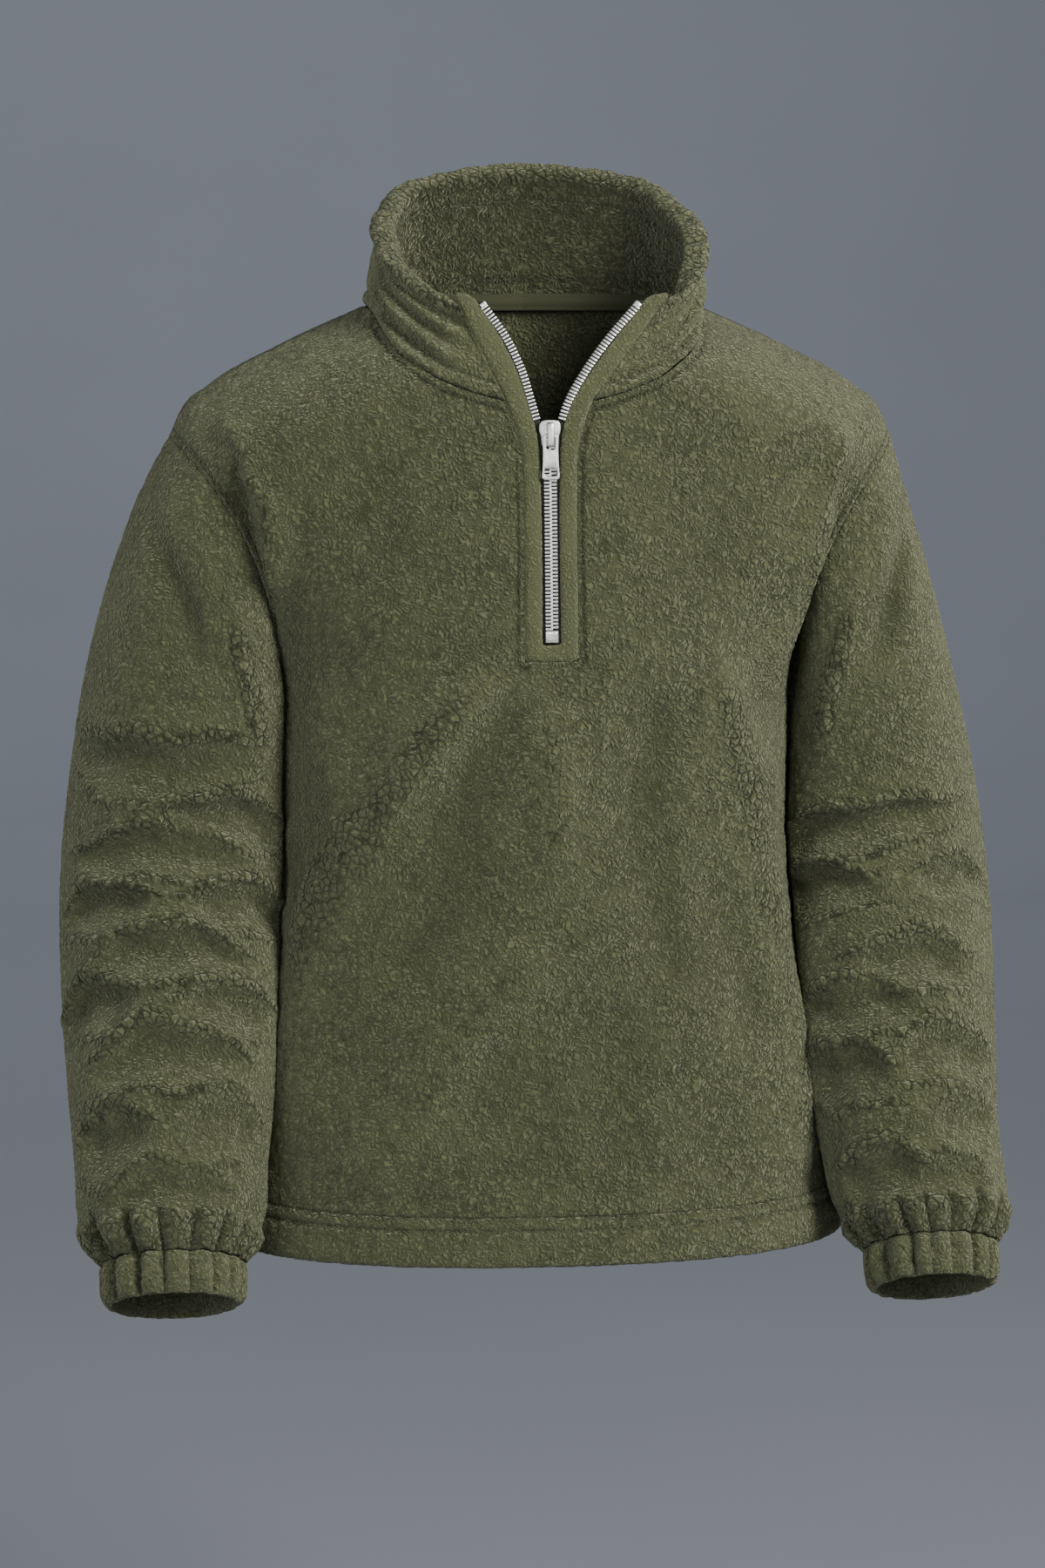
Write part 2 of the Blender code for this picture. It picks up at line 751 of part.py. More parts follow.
def sleeve_rings(side):
    """Rings of a sleeve at x > 0 from the armhole to the cuff, the last ones with twice the points."""
    loop = armhole_loop()
    angles = np.arange(SLEEVE_ROUND) * 2 * math.pi / SLEEVE_ROUND
    start = loop[:, 2]
    shares = np.concatenate(
        [np.linspace(0, 0.36, CAP_RINGS + 1)[:-1], np.linspace(0.36, 0.955, FOLD_RINGS + 1)]
    )
    rings = []
    for share in shares:
        z = start + (SLEEVE_END_Z - start) * share
        rings.append(sleeve_ring(angles, z, share, loop, start, side))
    fine = np.arange(2 * SLEEVE_ROUND) * math.pi / SLEEVE_ROUND
    fine_loop = np.stack([loop, (loop + np.roll(loop, -1, axis=0)) / 2], axis=1).reshape(-1, 3)
    fine_start = fine_loop[:, 2]
    for share in np.linspace(0.968, 1.0, GATHER_RINGS):
        z = fine_start + (SLEEVE_END_Z - fine_start) * share
        ring = sleeve_ring(fine, z, share, fine_loop, fine_start, side)
        depth = GATHER_DEPTH * (0.55 + 1.2 * (1.0 - share) / 0.032 * 0.4)
        ring += gather_waves(fine, depth)[:, None] * sleeve_out(fine)
        rings.append(ring)
    return rings


def sleeve_ring(angles, z, share, loop, start, side):
    plain = sleeve_surface(angles, z, side)
    out = unit(plain - sleeve_surface(angles + math.pi, z, side))
    fade = 1 - step(0.0, 0.42, np.full(z.shape, share))
    correction = loop - sleeve_surface(angles, start, side)
    ring = plain + correction * fade[:, None]
    strength = step(0.04, 0.16, share) * (1 - step(0.93, 0.99, share))
    ring = ring + out * (sleeve_fold_height(angles, z, side) * strength)[:, None]
    return clear_of_body(ring) if share > 0 else ring


def sleeve_out(angles):
    """Directions out of the sleeve's last ring."""
    lean = math.radians(SLEEVE["lean"][0])
    return np.stack(
        [np.cos(angles), -np.sin(angles) * math.cos(lean), np.sin(angles) * math.sin(lean)], axis=1
    )


def cuff_axis():
    """Direction down the cuff, square to the sleeve's last ring."""
    lean = math.radians(SLEEVE["lean"][0])
    return np.array([0.0, -math.sin(lean), -math.cos(lean)])


def gather_waves(angles, depth):
    return depth * np.cos(GATHERS * angles)


def ring_faces(rings):
    """Faces between rings of equal size, or from one ring to one of twice its size."""
    starts = np.concatenate([[0], np.cumsum([len(ring) for ring in rings])])
    faces = []
    for i in range(len(rings) - 1):
        size, below = len(rings[i]), len(rings[i + 1])
        for j in range(size):
            k = (j + 1) % size
            a, b = int(starts[i]), int(starts[i + 1])
            if below == size:
                faces.append((a + j, b + j, b + k, a + k))
            else:
                first, second, third = b + 2 * j, b + 2 * j + 1, b + 2 * k
                faces.append((a + j, first, second))
                faces.append((a + j, second, third, a + k))
    return faces


def seam_directions(own, other):
    """Own normals, turned to the mean with the neighbour's where the two surfaces run on."""
    agree = (own * other).sum(axis=1)
    share = step(-0.1, 0.5, agree)[:, None]
    return unit(own + (unit(own + other) - own) * share)


def turned(points, sign):
    return points * np.array([sign, 1.0, 1.0])


def add_sleeves(found):
    front_columns = found["front"][1]
    back_columns = found["back"][1]
    axis = cuff_axis()
    for side, sign in SIDES.items():
        rings = [turned(ring, sign) for ring in sleeve_rings(side)]
        faces = ring_faces(rings)
        if sign > 0:
            faces = [face[::-1] for face in faces]
        points = np.concatenate(rings)
        normals = normals_of(points, faces)
        last = normals[-2 * SLEEVE_ROUND :]
        last -= (last @ axis)[:, None] * axis
        normals[-2 * SLEEVE_ROUND :] = unit(last)
        column = -1 if sign > 0 else 0
        front = front_columns[LOW_ROWS:, column]
        back = back_columns[LOW_ROWS:, column]
        body = np.concatenate([front[::-1], back[1:-1]])
        body = unit(np.stack([body, body + np.roll(body, -1, axis=0)], axis=1).reshape(-1, 3))
        own = normals[:SLEEVE_ROUND].copy()
        normals[:SLEEVE_ROUND] = seam_directions(own, body)
        mixed = seam_directions(body, own)[::2]
        front_columns[LOW_ROWS:, column] = mixed[: ARM_ROWS + 1][::-1]
        back_columns[LOW_ROWS:, column] = np.concatenate([mixed[ARM_ROWS:], mixed[:1]])
        points = pulled_in(points, faces, SEAM / 2)
        add_wall("sleeve_" + side, points, faces, FLEECE, OLIVE, normals)


def add_cuffs():
    """A gathered band round each wrist, plain on the inside."""
    angles = np.arange(2 * SLEEVE_ROUND) * math.pi / SLEEVE_ROUND
    out = sleeve_out(angles)
    axis = cuff_axis()
    for side, sign in SIDES.items():
        top = sleeve_surface(angles, np.full(angles.shape, SLEEVE_END_Z), side) + axis * SEAM / 2
        loops = []
        for down, grow, gathers in rows_of(CUFF_OUTER):
            waves = gather_waves(angles, gathers * GATHER_DEPTH)
            loops.append(top + axis * down + out * (grow + waves)[:, None])
        for down, grow in rows_of(CUFF_INNER):
            loops.append(top + axis * down + out * grow)
        add_loft("cuff_" + side, turned(np.stack(loops, axis=1), sign), True, OLIVE_LIGHT)


# ---------------------------------------------------------------- hem


def add_hem():
    angles = np.linspace(0, 2 * math.pi, HEM_ROUND, endpoint=False)
    sections = []
    for angle in angles:
        section = []
        for down, out in rows_of(HEM_SECTION):
            z = HEM_TOP_Z - down
            half = float(body_half(np.array(z)))
            face = "back" if math.sin(angle) > 0 else "front"
            depth = float(through(BODY["z"], BODY[face], np.array(z)))
            power = 2 / BODY_CORNER
            x = half * math.copysign(abs(math.cos(angle)) ** power, math.cos(angle))
            y = depth * math.copysign(abs(math.sin(angle)) ** power, math.sin(angle))
            away = unit(
                np.array(
                    [
                        math.copysign((abs(x) / half) ** (BODY_CORNER - 1) / half, x),
                        math.copysign((abs(y) / depth) ** (BODY_CORNER - 1) / depth, y),
                    ]
                )
            )
            section.append((x + away[0] * out, y + away[1] * out, z))
        sections.append(section)
    add_loft("hem_band", np.array(sections), True, OLIVE)


# ---------------------------------------------------------------- collar and neck tape


def subdivided(points, steps):
    """Points of a polyline with steps - 1 more between each two."""
    shares = np.arange(steps)[None, :, None] / steps
    between = points[:-1, None] * (1 - shares) + points[1:, None] * shares
    return np.concatenate([between.reshape(-1, points.shape[1]), points[-1:]])


def neck_loop():
    """The neckline's points from the right side of the opening round the back to the left side."""
    front = on_torso(neckline(FRONT_NECK, NECK_COLUMNS), "front")
    back = on_torso(neckline(BACK_NECK, NECK_COLUMNS), "back")
    right = np.array([-1.0, 1.0, 1.0])
    loop = np.concatenate([front[::-1] * right, back[1:] * right, back[-2::-1], front[1:]])
    return subdivided(loop, COLLAR_STEPS)


def collar_frame():
    """Base and rim of the collar's outer face, their shares of its length, and the direction inward."""
    base = neck_loop() + np.array([0.0, 0.0, COLLAR_LIFT])
    lengths = np.linalg.norm(np.diff(base, axis=0), axis=1)
    shares = np.concatenate([[0.0], np.cumsum(lengths)]) / lengths.sum()
    rim = np.stack([through(RIM["share"], RIM[axis], shares) for axis in "xyz"], axis=1)
    along = unit(np.gradient(base + rim, axis=0))
    inward = unit(np.cross(rim - base, along))
    return base, rim, shares, -inward


def collar_fold_height(share, height):
    found = 0.0
    for share_a, height_a, share_b, height_b, width, depth in rows_of(COLLAR_FOLDS):
        length = 6.5  # collar's length over its height
        fold = (share_a * length, height_a, share_b * length, height_b, width, depth)
        found += float(line_fold(share * length, height, fold))
    return found * float(step(0.0, 0.06, share) * (1 - step(0.94, 1.0, share)))


def add_collar():
    base, rim, shares, inward = collar_frame()
    sections = []
    for k, share in enumerate(shares):
        section = []
        for height, depth in rows_of(COLLAR_SECTION):
            if depth < 5:
                depth = depth - collar_fold_height(share, height)
            section.append(base[k] + (rim[k] - base[k]) * height + inward[k] * depth)
        sections.append(section)
    add_loft("collar", np.array(sections), False, OLIVE_LIGHT)


def add_neck_tape():
    """A smooth tape round the back of the neck, over the seam of collar and back."""
    base, rim, shares, inward = collar_frame()
    up = unit(rim - base)
    sections = []
    for k, share in enumerate(shares):
        if not NECK_TAPE_FROM < share < 1 - NECK_TAPE_FROM:
            continue
        near = base[k] + inward[k] * (COLLAR_SECTION["depth"][-1] + NECK_TAPE_GAP)
        far = near + inward[k] * NECK_TAPE_THICK
        low = up[k] * NECK_TAPE_LOW
        high = up[k] * (NECK_TAPE_LOW + NECK_TAPE_HEIGHT)
        sections.append([near + low, far + low, far + high, near + high])
    add_loft("neck_tape", np.array(sections), False, TAPE)


# ---------------------------------------------------------------- zip and placket


def outer_edge(side, zs):
    """Points up the outer edge of a placket strip: along the front panel, then the collar's end."""
    sign = SIDES[side]
    body = on_torso(notch_edge(), "front") * np.array([sign, 1.0, 1.0])
    end = 0 if sign < 0 else -1
    rim = np.array([[RIM[axis][end] for axis in "xyz"]])
    foot = body[-1:] + np.array([0.0, 0.0, COLLAR_LIFT])
    line = np.concatenate([body, foot, rim])
    return np.stack([np.interp(zs, line[:, 2], line[:, axis]) for axis in range(3)], axis=1)


def opening_line(side, column, zs):
    """Points up an inner line of the opening: x from its table, y from the body or the collar's edge."""
    opening = OPENING[side]
    x = np.maximum(through(opening["z"], opening[column], zs), TEETH_FROM_MIDDLE)
    on_body = torso_y(x, zs, "front")
    on_collar = outer_edge(side, zs)[:, 1]
    share = step(NECK_SEAM_Z - 20, NECK_SEAM_Z, zs)
    return np.stack([x * SIDES[side], on_body + (on_collar - on_body) * share, zs], axis=1)


def strip_out(side, zs):
    """Directions out of the strip's face: the front panel's below, the collar's end's above."""
    base, rim, shares, inward = collar_frame()
    collar = -inward[0 if SIDES[side] < 0 else -1]
    low, high = opening_line(side, "inner", zs - 4), opening_line(side, "inner", zs + 4)
    body = unit(np.cross(high - low, np.array([1.0, 0.0, 0.0])))
    body = np.where(body[:, 1:2] > 0, -body, body)
    share = step(NECK_SEAM_Z - 14, NECK_SEAM_Z, zs)[:, None]
    return unit(body + (collar - body) * share)


def strip(name, outer, inner, out, front, back, bulge, finish):
    """A band between two lines, from one depth to another, its face raised a little along its middle."""
    middle = (outer + inner) / 2
    ring = [outer - out * front, middle + out * (bulge - front), inner - out * front]
    ring += [inner - out * back, outer - out * back]
    return add_loft(name, np.stack(ring, axis=1), False, finish)


def add_placket():
    """Placket strips, and the tape, open teeth and top stops that they carry."""
    low_z = UNDERARM_Z + PLACKET_BASE_HEIGHT
    panel_z = subdivided(notch_edge(), 2)[:, 1]
    zs = np.concatenate([[low_z + SEAM], panel_z[panel_z > low_z + 5]])
    zs = np.concatenate([zs, np.linspace(NECK_SEAM_Z, OPENING_TOP_Z, 9)[1:]])
    face = TAPE_SUNK - SEAM
    for side in SIDES:
        outer = outer_edge(side, zs)
        inner = opening_line(side, "inner", zs)
        out = strip_out(side, zs)
        sewn = outer - unit(outer - inner) * (SEAM / 2 + PLACKET_GAP)
        strip("placket_" + side, sewn, inner, out, 0.0, PLACKET_THICK, PLACKET_BULGE, OLIVE_LIGHT)

        teeth = opening_line(side, "teeth", zs)
        near = inner - unit(inner - teeth) * SEAM
        strip("zip_tape_" + side, near, teeth, out, TAPE_SUNK, TAPE_SUNK + TAPE_THICK, 0.0, TAPE)

        rows = np.linspace(SLIDER_TOP_Z + 2, OPENING_TOP_Z - 4, 10)
        add_teeth("zip_teeth_" + side, side, rows, 3.4, 0.6, face - TEETH_THICK)
        rows = np.linspace(OPENING_TOP_Z - 3.4, OPENING_TOP_Z - 0.4, 2)
        add_teeth("zip_top_stop_" + side, side, rows, 3.8, 0.8, face - TEETH_THICK - 0.4)

    inner_half = OPENING["left"]["outer"][0] - SEAM / 2 - PLACKET_GAP
    ends = []
    for x in np.linspace(inner_half, -inner_half, 5):
        low, high = UNDERARM_Z + SEAM / 2 + PLACKET_GAP, low_z
        reach = np.array([abs(x)])
        low_y = float(torso_y(reach, np.array([low]), "front")[0])
        high_y = float(torso_y(reach, np.array([high]), "front")[0])
        bulge = PLACKET_BULGE * (1 - (x / inner_half) ** 2)
        front = [(x, low_y - bulge, low), (x, high_y - bulge, high)]
        back = [(x, high_y + PLACKET_THICK, high), (x, low_y + PLACKET_THICK, low)]
        ends.append(front + back)
    add_loft("placket_base", np.array(ends), False, OLIVE_LIGHT)


def add_teeth(name, side, zs, over, past, front):
    """A row of metal along the tape's free edge, reaching over the tape and a little past it."""
    teeth = opening_line(side, "teeth", zs)
    across = unit(opening_line(side, "inner", zs) - teeth)
    out = strip_out(side, zs)
    strip(name, teeth + across * over, teeth - across * past, out, front, TAPE_SUNK - SEAM, 0.0, STEEL)


def zip_face_y(z):
    return float(torso_y(np.array(0.0), np.array(float(z)), "front"))


def add_chain():
    """Closed teeth up to the slider, under its plate, and the stop at their foot."""
    back = TAPE_SUNK - SEAM
    rings = []
    for z in np.linspace(STOP_TOP_Z + 0.2, PULL_AXIS_Z + 1.0, 8):
        y = zip_face_y(z) + back
        near, far = y - TEETH_THICK, y
        rings.append([(-CHAIN_HALF, near, z), (CHAIN_HALF, near, z), (CHAIN_HALF, far, z), (-CHAIN_HALF, far, z)])
    add_loft("zip_teeth_closed", np.array(rings), False, STEEL)
    rings = []
    for z in (STOP_TOP_Z - STOP_HEIGHT, STOP_TOP_Z):
        y = zip_face_y(z) + back
        near, far = y - TEETH_THICK - 0.6, y
        rings.append([(-STOP_HALF, near, z), (STOP_HALF, near, z), (STOP_HALF, far, z), (-STOP_HALF, far, z)])
    add_loft("zip_bottom_stop", np.array(rings), False, STEEL)


def slider_frame():
    """The pull's axis, and the directions up along the zip and out of it."""
    low, high = PULL_AXIS_Z - 12, PULL_AXIS_Z + 8
    up = unit(np.array([0.0, zip_face_y(high) - zip_face_y(low), high - low]))
    out = np.array([0.0, -up[2], up[1]])
    face = np.array([0.0, zip_face_y(PULL_AXIS_Z), PULL_AXIS_Z])
    return face + out * (SLIDER_FACE + PULL_AXIS_OUT), up, out


def plate(name, half_widths, columns, heights, holes, place, thickness, finish):
    """A flat piece cut from a grid: columns are shares of each row's half width, holes are its open cells."""
    points = []
    for half, height in zip(half_widths, heights):
        points += [place(half * share, height) for share in columns]
    across = len(columns)
    faces = []
    for i in range(len(heights) - 1):
        for j in range(across - 1):
            if (i, j) in holes:
                continue
            a, b = i * across + j, (i + 1) * across + j
            faces.append((a, a + 1, b + 1, b))
    points = np.array(points)
    (points,), faces = drop_unused(points, faces)
    direction = normals_of(points, faces)
    if direction[:, 1].mean() > 0:
        faces = [tuple(reversed(face)) for face in faces]
        direction = -direction
    return add_wall(name, points, faces, thickness, finish, direction)


def add_slider():
    """Slider plate with the bridge that carries the pull."""
    axis, up, out = slider_frame()

    def place(x, height, lift=0.0):
        return np.array([x, 0.0, 0.0]) + axis + up * height + out * (lift - PULL_AXIS_OUT)

    heights = SLIDER["height"]
    shares = (-1.0, -0.5, 0.5, 1.0)
    slider = plate("zip_slider", SLIDER["half"], shares, heights, set(), place, SLIDER_THICK, STEEL)
    rings = []
    half = BRIDGE_WIDTH / 2
    for low_h, low_lift, high_h, high_lift in rows_of(BRIDGE):
        ring = [place(-half, low_h, low_lift), place(half, low_h, low_lift)]
        ring += [place(half, high_h, high_lift), place(-half, high_h, high_lift)]
        rings.append(ring)
    bridge = add_loft("bridge_shape", np.array(rings), False, STEEL)
    bridge.hide_render = True
    bridge.display_type = "WIRE"
    join = slider.modifiers.new("bridge", "BOOLEAN")
    join.operation = "UNION"
    join.object = bridge


def add_pull():
    """Pull tab with the slot that the bridge passes through and a window near its foot."""
    axis, up, out = slider_frame()

    def place(x, height):
        return np.array([x, 0.0, 0.0]) + up * height + out * (PULL_THICK / 2)

    columns = (-1.0, -PULL_WINDOW_SHARE, -PULL_SLOT_SHARE, PULL_SLOT_SHARE, PULL_WINDOW_SHARE, 1.0)
    slot = {(1, 2)}
    window = {(4, 1), (4, 2), (4, 3)}
    pull = plate("zip_pull", PULL["half"], columns, PULL["height"], slot | window, place, PULL_THICK, STEEL)
    pull.location = axis * MM


def parent_all():
    garment = bpy.data.objects.new("garment", None)
    bpy.context.scene.collection.objects.link(garment)
    for piece in bpy.data.objects:
        if piece.type == "MESH":
            piece.parent = garment


def main():
    for old in list(bpy.data.objects):
        bpy.data.objects.remove(old, do_unlink=True)
    found = panels()
    add_sleeves(found)
    add_panels(found)
    add_cuffs()
    add_hem()
    add_collar()
    add_neck_tape()
    add_placket()
    add_chain()
    add_slider()
    add_pull()
    parent_all()


main()
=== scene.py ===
"""Looks of the quarter zip sweater: curly fleece, its sewing and a metal zip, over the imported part.

Sizes are in millimetres and become metres in add_mesh. The tables of the shape are those of the part.
"""

import math

import bmesh
import bpy
import numpy as np
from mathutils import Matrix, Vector


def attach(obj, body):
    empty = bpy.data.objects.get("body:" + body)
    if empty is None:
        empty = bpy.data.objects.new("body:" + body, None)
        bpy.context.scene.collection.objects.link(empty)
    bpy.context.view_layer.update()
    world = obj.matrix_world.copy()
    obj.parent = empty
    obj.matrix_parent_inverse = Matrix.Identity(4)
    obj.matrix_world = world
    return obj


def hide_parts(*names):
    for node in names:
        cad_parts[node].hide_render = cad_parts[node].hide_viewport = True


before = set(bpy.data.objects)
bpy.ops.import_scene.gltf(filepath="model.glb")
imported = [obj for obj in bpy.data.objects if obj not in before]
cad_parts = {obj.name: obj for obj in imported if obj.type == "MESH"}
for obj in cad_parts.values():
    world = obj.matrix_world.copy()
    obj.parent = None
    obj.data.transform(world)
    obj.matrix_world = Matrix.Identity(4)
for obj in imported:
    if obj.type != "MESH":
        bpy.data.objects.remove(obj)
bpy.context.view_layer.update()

MM = 0.001
FLEECE = 4.0  # wall of body and sleeves
SEAM = 0.4  # room between two pieces sewn to each other
SIDES = {"right": -1, "left": 1}  # the wearer's sides, and the sign of x there


def table(names, *rows):
    """The columns of a table by name, each an array with an entry for each row."""
    columns = zip(*rows)
    return {name: np.array(column, float) for name, column in zip(names.split(), columns)}


# Body: half its width at the side seams and its depth to the front and to the back of x = 0.
# Above the underarm the half width is that of the section which the armholes cut short.
BODY = table(
    "z half front back",
    (-690, 227, 139, 120),
    (-660, 224, 138, 119),
    (-616, 215, 137, 118),
    (-566, 206, 135, 117),
    (-508, 198, 133, 116),
    (-406, 183, 130, 113),
    (-320, 182, 129, 112),
    (-245, 188, 128, 111),
    (-225, 197, 127, 110),
    (-200, 214, 125, 109),
    (-170, 236, 122, 107),
    (-120, 262, 116, 102),
    (-60, 280, 111, 92),
    (0, 290, 106, 78),
)
BODY_CORNER = 2.3  # 2 is an ellipse, more is squarer

# Shoulder line from the middle of the neck to the top of the armhole.
SHOULDER = table(
    "x y z",
    (0, 16, 46),
    (60, 16, 22),
    (118, 15, -4),
    (180, 12, -32),
    (230, 9, -60),
    (249, 8, -77),
    (257, 8, -95),
)
SHOULDER_ROUND = 75.0  # drop below the shoulder line over which front and back reach their full depth

NECK_POINT = (118.0, -4.0)
ARMHOLE = ((188.0, -245.0), (186.0, -198.0), (214.0, -140.0), (257.0, -95.0))  # Bezier points in x, z
NECK = {
    "front": table("x z", (30, -67), (55, -60), (88, -44), (108, -25), (118, -4)),
    "back": table("x z", (0, -5), (60, -5), (118, -4)),
}
UNDERARM_Z = ARMHOLE[0][1]
HEM_TOP_Z = -633.0

# Zip opening, up its right and left side: x of the placket strip's two edges and of the teeth,
# counted from the middle. Above the collar's seam the outer edge runs straight to the rim's end.
OPENING = {
    "right": table(
        "z outer inner teeth",
        (-245, 18.5, 6.5, 0.3),
        (-127, 18.5, 6.5, 0.3),
        (-100, 19.5, 7.2, 0.8),
        (-84, 23.5, 10, 5.6),
        (-67, 30, 15.5, 10.5),
        (-44, 41, 23, 17.5),
        (-22, 51.5, 34, 28),
        (2, 63, 50, 45),
    ),
    "left": table(
        "z outer inner teeth",
        (-245, 18.5, 6.5, 0.3),
        (-127, 18.5, 6.5, 0.3),
        (-100, 19.5, 7.2, 0.8),
        (-84, 23.5, 9.5, 5.0),
        (-67, 30, 16, 11),
        (-44, 47.3, 32, 25),
        (-22, 63.9, 49, 42),
        (2, 83, 69, 64),
    ),
}
TEETH_FROM_MIDDLE = 0.3
NECK_SEAM_Z = -67.0
OPENING_TOP_Z = 2.0
NECK_TAPE_FROM = 0.27  # share of the neckline, from each side of the opening, that it leaves free
NECK_TAPE_GAP = 0.9
NECK_TAPE_LOW = -5.5
TAPE_SUNK = 2.4  # depth of the tape's face behind the strip's face
SLIDER_TOP_Z = -79.0
STOP_TOP_Z = -223.5
STOP_HEIGHT = 8.0

# Collar: its rolled rim from the wearer's right front edge round the back to the left one.
RIM = table(
    "share x y z",
    (0.00, -63, -101, 2),
    (0.10, -86, -82, 16),
    (0.20, -108, -44, 38),
    (0.31, -109, 8, 62),
    (0.41, -80, 58, 85),
    (0.50, 0, 80, 96),
    (0.59, 80, 58, 87),
    (0.69, 111, 8, 66),
    (0.80, 115, -38, 38),
    (0.90, 103, -72, 14),
    (1.00, 83, -93, 2),
)
COLLAR_LIFT = 0.7  # its base above the panels' neckline
# Collar section: height as a share of base to rim, and distance in from the outer face. A ridge over
# the neck seam, its stitched groove, the plain stand, the rolled rim and the stitched facing inside.
COLLAR_SECTION = table(
    "height depth",
    (0.00, 0.8),
    (0.03, -1.6),
    (0.08, -2.2),
    (0.13, -1.4),
    (0.17, 0.6),
    (0.23, -0.9),
    (0.35, -1.4),
    (0.50, -1.2),
    (0.63, -0.6),
    (0.71, 1.0),
    (0.76, 0.6),
    (0.81, -2.4),
    (0.88, -4.2),
    (0.94, -3.8),
    (0.98, -0.6),
    (0.995, 4.5),
    (0.975, 9.8),
    (0.93, 13.4),
    (0.86, 14.2),
    (0.80, 12.2),
    (0.745, 11.4),
    (0.72, 9.6),
    (0.69, 10.8),
    (0.55, 9.6),
    (0.30, 9.0),
    (0.05, 8.7),
    (0.00, 8.0),
)
# Soft folds across the collar's outer face: where each starts and ends, as shares of its length and
# height, its half width as a share of the height, and its depth, minus for a valley.
COLLAR_FOLDS = table(
    "share_a height_a share_b height_b width depth",
    (0.25, 0.64, 0.03, 0.44, 0.070, -5.5),
    (0.24, 0.52, 0.04, 0.30, 0.055, 3.0),
    (0.27, 0.40, 0.05, 0.17, 0.070, -5.0),
    (0.26, 0.26, 0.08, 0.06, 0.050, 2.5),
    (0.16, 0.70, 0.02, 0.58, 0.040, 2.5),
    (0.77, 0.62, 0.97, 0.36, 0.070, -5.5),
    (0.77, 0.48, 0.96, 0.22, 0.055, 3.0),
    (0.76, 0.34, 0.93, 0.10, 0.070, -5.0),
    (0.36, 0.52, 0.47, 0.34, 0.080, -4.5),
    (0.66, 0.55, 0.55, 0.30, 0.080, -4.5),
    (0.42, 0.24, 0.56, 0.16, 0.070, -3.5),
    (0.32, 0.30, 0.40, 0.52, 0.070, 3.0),
    (0.70, 0.26, 0.60, 0.52, 0.070, 3.0),
)

# Sleeve: centre of each ring, its half width and half depth, and how far its plane leans so that
# the forearm points forward.
SLEEVE = table(
    "z x y half_width half_depth lean",
    (-666, 263.5, -109, 47, 47, 25.5),
    (-656, 263.5, -104, 56, 55, 25.5),
    (-640, 263.5, -96, 64, 62, 25.5),
    (-600, 263, -77, 68, 67, 25),
    (-550, 261, -54, 74, 71, 24),
    (-500, 259, -31, 79, 75, 21),
    (-450, 256, -10, 83, 78, 16),
    (-408, 253, 4, 85, 80, 10),
    (-333, 250, 12, 80, 80, 4),
    (-250, 247, 10, 69, 78, 1),
    (-182, 236, 8, 61, 74, 0),
    (-130, 221, 8, 56, 70, 0),
    (-90, 206, 7, 49, 64, 0),
)
# The left sleeve hangs a little closer: changes to its centre's x and to its half width.
LEFT_SLEEVE = table(
    "z x half_width",
    (-666, 9, -3.5),
    (-640, 5, -4),
    (-600, 0, -4),
    (-500, -3, -3.5),
    (-420, -3, -3.5),
    (-333, -4, -5),
    (-260, -7, -7),
    (-182, -7, -7),
    (-130, -5, -5),
    (-90, 0, 0),
)
SLEEVE_END_Z = -666.0
SLEEVE_CLEAR = 2.0  # room between a sleeve and the body beside it

# Folds of each sleeve: height and angle of the middle (0 outer side, 90 front, 180 body side,
# 270 back), half its angular length, how far its ends drop, its slope over 90 degrees, its half
# width and its depth, minus for a trough.
SLEEVE_FOLDS = {
    "right": table(
        "z angle span droop slope width depth",
        (-324, 68, 50, -8, 6, 16, -7),
        (-364, 108, 34, 8, 14, 13, -9),
        (-387, 77, 42, 12, 2, 13, -10),
        (-430, 46, 26, 8, -8, 13, -9),
        (-432, 124, 30, 6, 6, 13, -9),
        (-466, 83, 40, 12, 0, 13, -9),
        (-500, 40, 28, 8, -8, 13, -9),
        (-506, 118, 30, 8, 6, 13, -8),
        (-537, 84, 42, 12, 0, 14, -9),
        (-592, 46, 26, 6, -12, 15, -8),
        (-584, 120, 28, 4, 8, 15, -6),
        (-626, 82, 40, 10, -6, 10, -6),
        (-352, 250, 40, 8, -8, 14, -7),
        (-396, 292, 42, 8, 10, 13, -8),
        (-440, 240, 40, 8, -6, 13, -8),
        (-484, 288, 38, 8, 8, 13, -7),
        (-532, 246, 40, 8, -6, 14, -7),
        (-580, 290, 38, 8, 8, 14, -7),
    ),
    "left": table(
        "z angle span droop slope width depth",
        (-378, 110, 56, 4, 24, 12, -10),
        (-424, 138, 34, 4, 6, 14, -9),
        (-418, 56, 24, 6, 4, 12, -6),
        (-482, 84, 34, 8, 4, 13, -9),
        (-512, 124, 38, 8, 4, 13, -9),
        (-546, 70, 34, 8, 6, 13, -7),
        (-556, 138, 32, 6, -12, 14, -8),
        (-592, 60, 24, 6, 4, 13, -6),
        (-626, 126, 34, 4, -6, 13, -8),
        (-630, 76, 24, 6, -4, 11, -6),
        (-346, 286, 42, 8, 8, 14, -7),
        (-392, 244, 40, 8, -8, 13, -8),
        (-438, 290, 40, 8, 8, 13, -8),
        (-486, 242, 38, 8, -6, 13, -7),
        (-534, 288, 40, 8, 6, 14, -7),
        (-582, 248, 38, 8, -8, 14, -7),
    ),
}
# Long drapes down the upper part of each sleeve, from the armhole: angles and heights of the two ends.
SLEEVE_DRAPES = table(
    "z_a angle_a z_b angle_b width depth",
    (-92, 30, -226, 112, 8, 7.5),
    (-205, 100, -320, 126, 10, 4),
    (-110, 14, -250, 88, 9, -6.5),
    (-150, 70, -215, 112, 8, -3),
    (-160, 310, -320, 262, 14, 5),
    (-180, 276, -330, 236, 12, -5),
)

